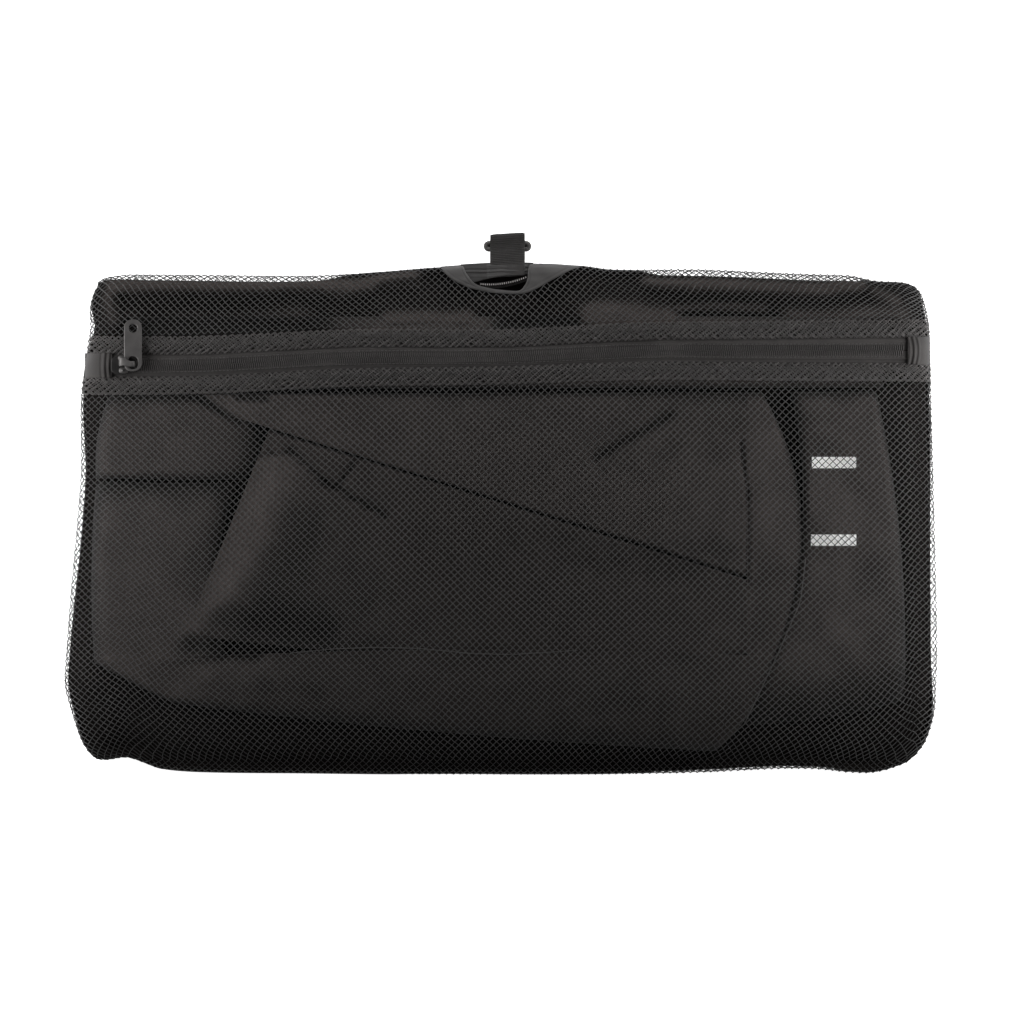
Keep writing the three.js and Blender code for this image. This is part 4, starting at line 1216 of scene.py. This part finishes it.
def zip_tab(from_x, to_x, bow, pleats):
    """Cloth end of the zip: crowned between the hems, with upright bowed pleats at the places given."""
    def foot(at):
        """Lower edge, lapped over the hem."""
        return strip_foot(at) - TAB_LAP

    def head(at):
        """Upper edge, in the same way."""
        return strip_head(at) + TAB_LAP

    x, y, t = strip_grid(from_x, to_x, foot, head, TAB_STEP, TAB_ROWS)
    height = front_z(x, y) + TAB_CROWN * np.sin(np.pi * t) + TAB_RUMPLE * soft_noise(x, y, 5, seed=41)
    for place, width, rise in pleats:
        bend = place - bow * (2 * t - 1) ** 2
        height = height + rise * np.exp(-((x - bend) / width) ** 2)
    return slab_shape(stack(x, y, height), stack(x, y, np.minimum(front_inner_z(x, y), height - TAB_LEAST)))


tape_lower = make_piece("zip_tape_lower_cloth", zip_tape(-1), "tape_cloth", ["zip_tape_lower"])
tape_upper = make_piece("zip_tape_upper_cloth", zip_tape(1), "tape_cloth", ["zip_tape_upper"])
make_piece("zip_coil_teeth", zip_coil(), "coil_nylon", ["zip_coil"])
make_piece("zip_stitches", coil_stitches(), "coil_nylon")

slider_y = float(zip_y(np.array(SLIDER_X)))
tab_left_edge = float(left_edge(np.array(slider_y)))
tab_right_edge = float(right_edge(zip_y(np.array(ZIP_END))))
tab_left = make_piece("zip_tab_left_cloth", zip_tab(tab_left_edge, TAB_LEFT_END, LEFT_BOW, LEFT_PLEATS),
                      "tab_cloth", ["zip_tab_left"])
tab_right = make_piece("zip_tab_right_cloth", zip_tab(TAB_RIGHT_END, tab_right_edge, RIGHT_BOW, RIGHT_PLEATS),
                       "tab_cloth", ["zip_tab_right"])


# Slider and pull

def flat_plate(outlines, thick, bevel):
    """Flat plate of triangles: closed outlines filled between them, given thickness and a round edge."""
    curve = bpy.data.curves.new("outline", "CURVE")
    curve.dimensions = "2D"
    curve.fill_mode = "BOTH"
    curve.extrude = (thick / 2 - bevel) * MM
    curve.bevel_depth = bevel * MM
    curve.bevel_resolution = 3
    curve.offset = -bevel * MM
    for outline in outlines:
        spline = curve.splines.new("POLY")
        spline.points.add(len(outline) - 1)
        flat = np.concatenate([outline * MM, np.zeros((len(outline), 1)), np.ones((len(outline), 1))], axis=1)
        spline.points.foreach_set("co", flat.astype(np.float32).ravel())
        spline.use_cyclic_u = True
    drawn = bpy.data.objects.new("drawn", curve)
    bpy.context.scene.collection.objects.link(drawn)
    mesh = bpy.data.meshes.new_from_object(drawn.evaluated_get(bpy.context.evaluated_depsgraph_get()))
    mesh.calc_loop_triangles()
    points = np.empty(len(mesh.vertices) * 3, np.float32)
    mesh.vertices.foreach_get("co", points)
    faces = np.empty(len(mesh.loop_triangles) * 3, np.int32)
    mesh.loop_triangles.foreach_get("vertices", faces)
    bpy.data.objects.remove(drawn)
    bpy.data.curves.remove(curve)
    bpy.data.meshes.remove(mesh)
    return points.reshape(-1, 3).astype(float) / MM, faces.reshape(-1, 3)[:, [0, 1, 2, 2]]


def soft_rectangle(from_x, to_x, from_y, to_y, corner):
    """Closed outline of a rectangle whose four corners are arcs."""
    angle = np.linspace(0, np.pi / 2, 13)
    left, right, foot, head = from_x + corner, to_x - corner, from_y + corner, to_y - corner
    turns = []
    for quarter, (x, y) in enumerate(((right, foot), (right, head), (left, head), (left, foot)), -1):
        turned = angle + quarter * np.pi / 2
        turns.append(np.stack([x + corner * np.cos(turned), y + corner * np.sin(turned)], axis=-1))
    return np.concatenate(turns)


# Height of the tapes' middle at the slider, and heights of the slider's parts over it
tape_z = float(tape_top(np.array(SLIDER_X), np.array(slider_y))) - TAPE_THICK / 2
top_plate_z = TAPE_THICK / 2 + GAP + COIL_HEIGHT + PLATE_ROOM
arch_foot_z = top_plate_z + SLIDER_PLATE
leg_z = arch_foot_z + LEG_LIFT
arch_top_z = leg_z + ARCH_ROOM


def at_slider(shape):
    """A shape moved from the slider's own frame to its place."""
    points, faces = shape
    return points + (SLIDER_X, slider_y, tape_z), faces


def zip_pull():
    """Plate with round ends, an eye at its foot and a round hole at its head, tilted down the slope."""
    left = -PULL_LEG / 2
    right = left + PULL_WIDTH
    eye_left = PULL_LEG / 2
    hole = round_profile(PULL_HOLE_RADIUS, 40) + ((left + right) / 2, PULL_HOLE_Y)
    outlines = [soft_rectangle(left, right, PULL_FOOT, PULL_HEAD, PULL_CORNER),
                soft_rectangle(eye_left, eye_left + EYE_WIDTH, EYE_FOOT, EYE_HEAD, EYE_CORNER), hole]
    points, faces = flat_plate(outlines, PULL_THICK, PULL_BEVEL)
    tilt = np.array(Matrix.Rotation(-PULL_TILT, 3, "X"))
    return at_slider((points @ tilt.T + (PULL_LEG_X, ARCH_Y, leg_z), faces))


def slider_outline():
    """Outline of the slider's plates: a superellipse, wide and round at the nose, narrower at the tail."""
    half, wide = SLIDER_LENGTH / 2, SLIDER_WIDTH / 2
    angle = np.linspace(0, 2 * np.pi, 64, endpoint=False)
    cosine, sine = np.cos(angle), np.sin(angle)
    x = half * np.sign(cosine) * np.abs(cosine) ** 0.55
    y = wide * np.sign(sine) * np.abs(sine) ** 0.6 * (1 - PLATE_TAPER * np.clip(x / half, 0, 1))
    return np.stack([x, y], axis=-1)


def slider_plates():
    """Two flat plates, the nose between them, and side flanges over the tape."""
    lower_top = -TAPE_THICK / 2 - GAP
    upper_foot = top_plate_z + SUNK
    half = SLIDER_LENGTH / 2
    shapes = []
    for height in (top_plate_z, lower_top - SLIDER_PLATE):
        points, faces = flat_plate([slider_outline()], SLIDER_PLATE, PLATE_BEVEL)
        shapes.append((points + (0, 0, height + SLIDER_PLATE / 2), faces))
    nose_z = np.linspace(lower_top - SUNK, upper_foot, 5)
    nose = stack(NOSE_IN - half, 0, nose_z)
    shapes.append(sweep(nose, Y_WAY, soft_box_profile(SLIDER_NOSE, SLIDER_NOSE, 4, 12)))
    flange_x = np.linspace(FLANGE_FROM - half, half - FLANGE_TO, 9)
    flange_z = (TAPE_THICK / 2 + GAP + upper_foot) / 2
    section = soft_box_profile(FLANGE_THICK, 2 * (upper_foot - flange_z), 4, 12)
    for side in (-1, 1):
        shapes.append(sweep(stack(flange_x, side * FLANGE_Y, flange_z), Z_WAY, section))
    return join(*shapes)


def slider_crown():
    """Arch and lobes: the arch is a flat bar along a path that climbs, runs level and comes down, and each
    lobe a dome over a superellipse."""
    angle = np.linspace(np.pi, 0, 33)
    reach = (ARCH_TO - ARCH_FROM - ARCH_BAR) / 2
    foot_z = arch_foot_z - SUNK
    tall = arch_top_z + ARCH_BAR / 2 - foot_z
    cosine, sine = np.cos(angle), np.sin(angle)
    arch_x = (ARCH_FROM + ARCH_TO) / 2 + reach * np.sign(cosine) * np.abs(cosine) ** ARCH_ROUND
    arch_z = foot_z + tall * np.abs(sine) ** ARCH_ROUND
    wide = CROWN_WIDTH + (ARCH_WIDTH - CROWN_WIDTH) * np.clip((arch_x - CROWN_TO) / CROWN_EASE, 0, 1)
    shift = CROWN_SHIFT * (wide - ARCH_WIDTH) / (CROWN_WIDTH - ARCH_WIDTH)
    section = soft_box_profile(ARCH_BAR, 1, 4, 16)[None] * np.stack([1 + 0 * wide, wide], axis=-1)[:, None]
    shapes = [sweep(stack(arch_x, ARCH_Y + shift, arch_z), Y_WAY, section)]
    rise = np.linspace(0, 1, 9)
    for x, y, half_long, half_wide, height in CROWN_LOBES:
        outline = soft_box_profile(2 * half_long, 2 * half_wide, LOBE_POWER, 24)
        shrink = np.sqrt(1 - LOBE_FALL * rise ** 3)
        path = stack(x, y, foot_z + (height + SUNK) * rise)
        shapes.append(sweep(path, Y_WAY, outline[None] * shrink[:, None, None]))
    return join(*shapes)


make_piece("zip_pull_plate", zip_pull(), "dark_metal", ["zip_pull"], "pull")
make_piece("zip_slider_plates", at_slider(slider_plates()), "black_metal", ["zip_slider"])
make_piece("zip_slider_crown", at_slider(slider_crown()), "bright_metal")


# Half-moon opening

def mouth_binding():
    """Bias cloth round the opening: a band between its outer and inner lines, crowned across, with a pressed
    groove along each seam, and creased."""
    run = np.linspace(0, BINDING_RUN[-1, 0], 181)
    s, t = np.meshgrid(run, np.linspace(0, 1, 21), indexing="ij")
    outer_x, outer_y, inner_x, inner_y = (along(BINDING_RUN, k, s) for k in (1, 2, 3, 4))
    x = outer_x * (1 - t) + inner_x * t
    y = np.minimum(outer_y * (1 - t) + inner_y * t, top_edge(x) + BINDING_PASS)
    edge = np.minimum(t, 1 - t) * np.hypot(inner_x - outer_x, inner_y - outer_y)
    crown = BINDING_CROWN * rounded(edge / BINDING_ROUND) + BINDING_LIFT
    groove = GROOVE * np.exp(-((edge - GROOVE_IN) / GROOVE_WIDTH) ** 2)
    crease = sum(amount * soft_noise(x * draw, y, size, seed) for amount, draw, size, seed in BINDING_CREASES)
    height = front_z(x, y) + crown - groove + crease * rounded(edge / BINDING_EASE)
    lower = np.minimum(front_inner_z(x, y), height - BINDING_LEAST)
    return slab_shape(stack(x, y, height), stack(x, y, lower))


def lip_edge(x):
    """Inner edge of the lip: a straight line, tilted about the strap."""
    return LIP_Y + LIP_TILT * (x - STRAP_X)


def lip_z(y):
    """Straight fall of the lip from its inner edge to the bag's top edge."""
    out = float(top_edge(np.array(STRAP_X))) + LIP_PASS
    return LIP_INNER_Z + (LIP_OUTER_Z - LIP_INNER_Z) * (y - LIP_Y) / (out - LIP_Y)


def mouth_lip():
    """Cloth of the back that shows in the opening: a four-sided patch with a bowed and rolled edge, raised
    over the end of the strap that is sewn into it, with creases along it."""
    u, t = np.meshgrid(np.linspace(0, 1, 81), np.linspace(0, 1, 61), indexing="ij")
    foot_x = LIP_FOOT[0] + (LIP_FOOT[1] - LIP_FOOT[0]) * u
    head_x = LIP_HEAD[0] + (LIP_HEAD[1] - LIP_HEAD[0]) * u
    x = foot_x * (1 - t) + head_x * t
    foot_y = lip_edge(foot_x) + LIP_BOW * (1 - (2 * u - 1) ** 2)
    y = foot_y * (1 - t) + (top_edge(head_x) + LIP_PASS) * t
    from_strap = np.clip((STRAP_WIDTH / 2 + HUMP_PAST - np.abs(x - STRAP_X)) / HUMP_EASE, 0, 1)
    hump = STRAP_HUMP * smooth_step(from_strap) * np.clip((HUMP_TO_Y - y) / HUMP_END, 0, 1)
    droop = LIP_DROOP * (1 - t) * (2 * u - 1) ** 4
    roll = LIP_ROLL * (1 - rounded(t / LIP_ROLL_REACH))
    height = lip_z(y) - droop - roll + hump
    for place, width, rise in LIP_CREASES:
        line = place + CREASE_TILT * (x - STRAP_X) + CREASE_DRIFT * soft_noise(x, 0 * x, 9, seed=52)
        height = height + rise * np.exp(-((y - line) / width) ** 2)
    height = height + LIP_RUMPLE * soft_noise(x, y, 4, seed=53)
    return slab_shape(stack(x, y, height), stack(x, y, np.minimum(lip_z(y) - LIP_THICK, height - LIP_LEAST)))


def teeth_line(x):
    """Line of the teeth: the lip's edge with a parabolic sag between its ends."""
    part = (x - TEETH_FROM) / (TEETH_TO - TEETH_FROM)
    return lip_edge(x) - 4 * TEETH_BOW * part * (1 - part)


def lip_teeth():
    """Small teeth along the lip's edge, on a narrow tape below them."""
    x = np.linspace(TEETH_FROM, TEETH_TO, TEETH_COUNT)
    place = stack(x, teeth_line(x) - GAP - TEETH_IN, LIP_INNER_Z - LIP_THICK + TEETH_LIFT)
    run = LIP_TOOTH_LENGTH * Y_WAY + LIP_TOOTH_LEAN * Z_WAY
    side, up = -LIP_TOOTH_HALF[0] * X_WAY, LIP_TOOTH_HALF[1] * Z_WAY
    return scatter(bead_bar(8, 6), place, run[None], side[None], up[None])


def lip_tape():
    """Narrow tape under the teeth, falling to its outer side, with ridges along it."""
    def foot(at):
        """Lower edge, a set distance from the teeth."""
        return teeth_line(at) - LIP_TAPE_SIDES[0]

    def head(at):
        """Upper edge, in the same way."""
        return teeth_line(at) - LIP_TAPE_SIDES[1]

    x, y, t = strip_grid(TEETH_FROM - LIP_TAPE_FROM, TEETH_TO + LIP_TAPE_TO, foot, head, 0.5, 19)
    ridge = LIP_TAPE_RIDGE * np.sin(2 * np.pi * LIP_TAPE_RIDGES * t)
    height = LIP_INNER_Z - LIP_THICK - LIP_TAPE_DOWN - LIP_TAPE_FALL * (1 - t) + ridge
    return slab_shape(stack(x, y, height), stack(x, y, height - LIP_TAPE_THICK))


binding_piece = make_piece("mouth_binding_cloth", mouth_binding(),
                           "trim_cloth", ["mouth_binding"])
lip_piece = make_piece("mouth_lip_cloth", mouth_lip(), "lip_cloth", ["mouth_lip"])
make_piece("lip_teeth", lip_teeth(), "tooth_nylon", ["lip_coil"])
make_piece("lip_tape", lip_tape(), "webbing")


# Strap and ring

def strap_path():
    """Middle line of the webbing in y and z: down the lip, over the top edge, round the ring and back."""
    half = STRAP_THICK / 2
    lip_from = float(lip_edge(np.array(STRAP_X))) + STRAP_FROM
    lip_to = float(top_edge(np.array(STRAP_X))) + LIP_PASS
    raised = (half + GAP) * STRAP_ON_LIP
    floor_z = half + STRAP_FLOOR
    upper_z = floor_z + 2 * half + RING_WIRE + 3 * GAP
    radius = (upper_z - floor_z) / 2
    fold_y = STRAP_END_Y - half - radius
    angle = np.linspace(np.pi / 2, -np.pi / 2, 13)
    fold_z = (upper_z + floor_z) / 2
    fold = np.stack([fold_y + radius * np.cos(angle), fold_z + radius * np.sin(angle)], axis=-1)
    down = [(lip_from, lip_z(lip_from) + raised), (lip_to, lip_z(lip_to) + raised)]
    level = [(STRAP_LEVEL[0], upper_z + STRAP_LEVEL[1])]
    back = [(y, floor_z + rise) for y, rise in STRAP_BACK]
    return np.concatenate([down, STRAP_FALL, level, fold, back])


def even_path(path, step):
    """The same line with points at even steps, eased at its corners by a short running mean."""
    reach = np.concatenate([[0], np.cumsum(np.linalg.norm(np.diff(path, axis=0), axis=1))])
    at = np.linspace(0, reach[-1], int(reach[-1] / step) + 1)
    line = np.stack([np.interp(at, reach, path[:, k]) for k in range(path.shape[1])], axis=-1)
    width = 5
    padded = np.concatenate([np.repeat(line[:1], width, 0), line, np.repeat(line[-1:], width, 0)])
    kernel = np.ones(2 * width + 1) / (2 * width + 1)
    return np.stack([np.convolve(padded[:, k], kernel, "valid") for k in range(line.shape[1])], axis=-1), at


def hang_strap():
    """Ribbed webbing: a flat section carried along its path, whose ribs swell its thickness once a pitch, and
    whose edges are drawn in between two ribs."""
    line, at = even_path(strap_path(), STRAP_STEP)
    path = stack(STRAP_X, line[:, 0], line[:, 1])
    rib = np.abs(np.sin(np.pi * at / RIB_PITCH)) ** RIB_ROUND
    thick = 1 - RIB_DEEP * (1 - rib) * np.clip((at - RIBS_FROM) / RIBS_EASE, 0, 1)
    width = 1 - RIB_DRAW * (1 - rib)
    across = np.linspace(-1, 1, 41)
    crown = STRAP_THICK / 2 * np.clip(1 - np.abs(across) ** STRAP_POWER, STRAP_EDGE, 1)
    half = crown * (1 + CORD_SWELL * np.cos(across * CORD_COUNT * np.pi))
    section = np.concatenate([np.stack([across * STRAP_WIDTH / 2, half], axis=-1)[::-1],
                              np.stack([across * STRAP_WIDTH / 2, -half], axis=-1)])
    profile = section[None] * np.stack([width, thick], axis=-1)[:, None]
    points, faces = sweep(path, X_WAY, profile[..., ::-1] * (1, -1))
    points[:, 1] += STRAP_SKEW * (points[:, 0] - STRAP_X)
    return points, faces


def strap_turn():
    """Inner ply of the webbing that fills the ring: a flat bar along it."""
    x = np.linspace(-TURN_HALF, TURN_HALF, 9)
    return sweep(stack(x + STRAP_X, RING_Y, TURN_Z), Z_WAY, soft_box_profile(*TURN_SIZE, 3, 8))


def strap_ring():
    """Flat oval ring: a soft-cornered section carried round two half circles joined by straights."""
    end = (RING_DEPTH - RING_BAND) / 2
    reach = RING_WIDTH / 2 - RING_DEPTH / 2
    turn = np.linspace(-np.pi / 2, np.pi / 2, 17)
    straight = np.linspace(-1, 1, 13)[1:-1]
    round_x, round_y = reach + end * np.cos(turn), end * np.sin(turn)
    x = np.concatenate([round_x, -straight * reach, -round_x, straight * reach])
    y = np.concatenate([round_y, 0 * straight + end, -round_y, 0 * straight - end])
    path = stack(x + STRAP_X, y + RING_Y, STRAP_THICK + STRAP_FLOOR + GAP + RING_WIRE / 2)
    return sweep(path, Z_WAY, soft_box_profile(RING_BAND, RING_WIRE, RING_ROUND, 16), closed=True)


strap_piece = make_piece("hang_strap_webbing", hang_strap(), "webbing", ["hang_strap"])
make_piece("strap_turn", strap_turn(), "webbing")
make_piece("strap_ring_wire", strap_ring(), "bright_metal", ["strap_ring"])


# Bundle

def rim_fractions(length, step):
    """Fractions along a length: close steps in from each end, then even steps between."""
    rim_part = RIM_STEPS / length
    count = max(2, round((length - 2 * RIM_STEPS[-1]) / step))
    middle = np.linspace(rim_part[-1], 1 - rim_part[-1], count + 1)[1:-1]
    return np.concatenate([rim_part, middle, 1 - rim_part[::-1]])


def bowed_side(start, end, out, t):
    """Line from start to end with a parabolic swell to its right."""
    start, end = np.array(start, float), np.array(end, float)
    right = unit(np.array([end[1] - start[1], start[0] - end[0]]))
    return start + (end - start) * t[:, None] + 4 * (t * (1 - t))[:, None] * out * right


def patch_place(corners, bow, u, t):
    """Four-sided patch blended from its bowed sides: the two ways across, less the corners' own blend."""
    sw, se, ne, nw = (np.array(corner, float) for corner in corners)
    south, north = bowed_side(sw, se, bow[0], u)[:, None], bowed_side(nw, ne, -bow[2], u)[:, None]
    east, west = bowed_side(se, ne, bow[1], t)[None], bowed_side(sw, nw, -bow[3], t)[None]
    u, t = u[:, None, None], t[None, :, None]
    flat = (sw * (1 - u) + se * u) * (1 - t) + (nw * (1 - u) + ne * u) * t
    place = south * (1 - t) + north * t + west * (1 - u) + east * u - flat
    return place[..., 0], place[..., 1]


def pressed(rows, x, y):
    """Gaussian ridges round short lines, one for each row of a table, as a list."""
    ridges = []
    for x0, y0, x1, y1, width, rise in rows:
        dx, dy = x1 - x0, y1 - y0
        part = np.clip(((x - x0) * dx + (y - y0) * dy) / (dx * dx + dy * dy), 0, 1)
        away = np.hypot(x - x0 - part * dx, y - y0 - part * dy)
        ridges.append(rise * np.exp(-(away / width) ** 2))
    return ridges


def rumple(x, y, seed):
    """Soft folds of packed cloth: four noises, each half the size of the last, the larger ones drawn out."""
    return sum(amount * soft_noise(x * draw_x, y * draw_y, size, seed + k)
               for k, (amount, draw_x, draw_y, size) in enumerate(RUMPLES))


def under_net(x, y):
    """Highest that packed cloth comes: up to the strands, by a share of the wall measured straight up."""
    return front_z(x, y) - NET_TOUCH * (front_z(x, y) - front_inner_z(x, y)) / NET_WALL


def under_zip(x, y):
    """Highest that packed cloth comes near the zip: a set depth under its tapes, free of it outside them."""
    outside = np.abs(y - zip_y(x)) - half_strip(x) - TAPE_UNDER_HEM
    return tape_top(x, y) - ZIP_ROOM + ZIP_ROOM * np.clip(outside / ZIP_EASE, 0, 1)


def folded_layer(depth, corners, bow, falls, seed):
    """Folded cloth under the net: it follows the front at its depth, falls away to each side in a quarter
    round of its own reach, turns down at the edge, and carries creases and soft folds that the net presses
    flat."""
    sw, se, ne, nw = (np.array(corner, float) for corner in corners)
    across = (np.linalg.norm(se - sw) + np.linalg.norm(ne - nw)) / 2 + abs(bow[1])
    upward = (np.linalg.norm(nw - sw) + np.linalg.norm(ne - se)) / 2
    u, t = rim_fractions(across, FOLD_STEP), rim_fractions(upward, FOLD_STEP)
    x, y = patch_place(corners, bow, u, t)
    from_side = [(t * upward)[None], ((1 - u) * across)[:, None],
                 ((1 - t) * upward)[None], (u * across)[:, None]]
    inside = np.minimum(np.minimum(*from_side[::2]), np.minimum(*from_side[1::2]))
    fall = sum(drop * (1 - rounded(away / reach)) for away, (reach, drop) in zip(from_side, falls))
    relief = sum(pressed(CREASES, x, y)) + FOLD_RUMPLE * rumple(x, y, seed)
    bottom = front_z(x, y) - FOLD_BASE
    ceiling = np.minimum(under_net(x, y), under_zip(x, y))
    top = np.minimum(front_z(x, y) - depth - fall + relief * rounded(inside / RUMPLE_EASE), ceiling)
    top = np.maximum(top, bottom + FOLD_LEAST)
    # The layer's shape, and its painted shade by depth as a tone for each point
    return slab_shape(stack(x, y, top), stack(x, y, bottom)), painted_depth_shade(x, y, top)


def painted_depth_shade(x, y, top):
    """Painted shade: share of a cloth's full colour, for both faces, that falls off by the depth under the
    net, as an exponential, and is raised by the bands of painted light."""
    deep = np.maximum(front_z(x, y) - top - PAINTED_SHADE_FROM, 0)
    share = np.exp(-deep / PAINTED_SHADE_REACH) * (1 + sum(pressed(PAINTED_LIGHT_BANDS, x, y)))
    share = np.maximum(share, DARKEST_PAINTED_SHARE).ravel()
    return np.concatenate([share, share])


def edge_line(places):
    """Round cord just under the net along a line through the places given."""
    line, _ = even_path(np.array(places, float), EDGE_STEP)
    x, y = line[:, 0], line[:, 1]
    return sweep(stack(x, y, front_z(x, y) - EDGE_DEPTH), Z_WAY, round_profile(EDGE_CORD, 6))


def bundle_core():
    """Inside of the bundle: rounded in from its rim, low under the folded layers and behind the opening, with
    rolls above the zip that come up to the net."""
    along_x, along_y = rim_fractions(BAG_WIDTH, CORE_STEPS[0]), rim_fractions(BAG_HEIGHT, CORE_STEPS[1])
    u, t = np.meshgrid(along_x, along_y, indexing="ij")
    x, y = band_place(pack_foot, pack_head, u, t, pack_left, pack_right)
    slack = 1 - climb(x, y, BACK_SLOPE, BACK_SLOPE, BACK_SLOPE)
    bottom = back_z(x, y) + NET_WALL + GAP + CORE_SLACK * slack
    base = np.maximum(np.minimum(bottom + CORE_RIM, under_net(x, y)), bottom + CORE_LEAST)
    inside = np.minimum(np.minimum(x - pack_left(y), pack_right(y) - x),
                        np.minimum(y - pack_foot(x), pack_head(x) - y))
    pit = PIT_DEEP * np.exp(-((x - PIT_X) / PIT_RX) ** 2 - ((y - PIT_Y) / PIT_RY) ** 2)
    low = np.maximum(front_z(x, y) - FOLD_BASE - GAP - pit, base)
    high = np.maximum(under_net(x, y) - pit, base)
    drifted = y + ROLL_DRIFT * soft_noise(x, 0 * y, 30, seed=88)
    above_zip = np.clip((y - ROLLS_FROM_Y) / ROLLS_EASE, 0, 1)
    near = np.max(pressed(HEAD_ROLLS, x, drifted), axis=0) + ROLL_RUMPLE * rumple(x, y, 90)
    near = np.clip(near, 0, 1) * above_zip
    top = low + (high - low) * near
    reach = CORE_ROLL + (HEAD_ROLL - CORE_ROLL) * above_zip
    top = np.maximum(base + (top - base) * rounded(inside / reach), base)
    # Painted shade: the core's colour darkens where it lies low, full only on rolls that reach the net; its
    # underside keeps a set share
    tone = np.clip(near ** CORE_SHADE_POWER, DARKEST_PAINTED_SHARE, 1).ravel()
    return slab_shape(stack(x, y, top), stack(x, y, bottom)), np.concatenate([tone, 0 * tone + UNDERSIDE_PAINTED_SHARE])


# Painted highlight: pale cords along fold edges
edges = join(*(edge_line(places) for places in EDGE_LINES))
make_piece("fold_edges", edges, "edge_highlight_yarn")
shape, tone = bundle_core()
core = make_piece("bundle_core_cloth", shape, "core_cloth", ["bundle_core"], tone=tone)
for number, (fold_name, (depth, corners, bow, falls)) in enumerate(FOLDS.items()):
    shape, tone = folded_layer(depth, corners, bow, falls, FOLD_SEED + len(RUMPLES) * number)
    cloth = CLOTH_OF_FOLD.get(fold_name, "bundle_cloth")
    layer = make_piece(fold_name + "_cloth", shape, cloth, [fold_name], tone=tone)


# Floor, lights and camera

def pale_floor():
    """Large level sheet, white and lit from within so that it stays pale under the object."""
    side = np.linspace(-FLOOR_SIZE, FLOOR_SIZE, 3)
    x, y = np.meshgrid(side, side, indexing="ij")
    points = stack(x, y, -FLOOR_DROP).reshape(-1, 3)
    mesh = bpy.data.meshes.new("floor")
    mesh.from_pydata((points * MM).tolist(), [], grid_faces(3, 3).tolist())
    material, tree, shader, place = new_material("pale_floor")
    dark, light = ((tone, tone, tone) for tone in FLOOR_TONES)
    tree.links.new(two_tone(tree, place, dark, light, FLOOR_MOTTLE), shader.inputs["Base Color"])
    shader.inputs["Roughness"].default_value = 0.9
    shader.inputs["Specular IOR Level"].default_value = 0.0
    shader.inputs["Emission Color"].default_value = (1, 1, 1, 1)
    shader.inputs["Emission Strength"].default_value = 1.0
    mesh.materials.append(material)
    floor = bpy.data.objects.new("floor", mesh)
    bpy.context.scene.collection.objects.link(floor)


def soft_light(name, place, size, power):
    """Square light at a place in metres, facing the middle of the object."""
    lamp = bpy.data.lights.new(name, "AREA")
    lamp.size = size
    lamp.energy = power
    light = bpy.data.objects.new(name, lamp)
    light.visible_camera = False
    bpy.context.scene.collection.objects.link(light)
    aim = (-Vector(place)).to_track_quat("-Z", "Y")
    light.matrix_world = Matrix.LocRotScale(Vector(place), aim, None)


def sky(strength):
    """Even white surround."""
    world = bpy.data.worlds.new("surround")
    bpy.context.scene.world = world
    world.use_nodes = True
    world.node_tree.nodes["Background"].inputs["Color"].default_value = (1, 1, 1, 1)
    world.node_tree.nodes["Background"].inputs["Strength"].default_value = strength


def overhead_camera():
    """Camera straight above, framed on the same width as the picture."""
    lens = bpy.data.cameras.new("camera")
    lens.sensor_width = SENSOR
    lens.lens = SENSOR * VIEW_DISTANCE / VIEW_WIDTH
    lens.clip_end = 100
    camera = bpy.data.objects.new("camera", lens)
    camera.location = (VIEW_X * MM, VIEW_Y * MM, (VIEW_Z + VIEW_DISTANCE) * MM)
    bpy.context.scene.collection.objects.link(camera)
    bpy.context.scene.camera = camera


pale_floor()
for row in LIGHTS:
    soft_light(*row)
sky(SURROUND)
overhead_camera()
bpy.context.scene.view_settings.view_transform = "Standard"
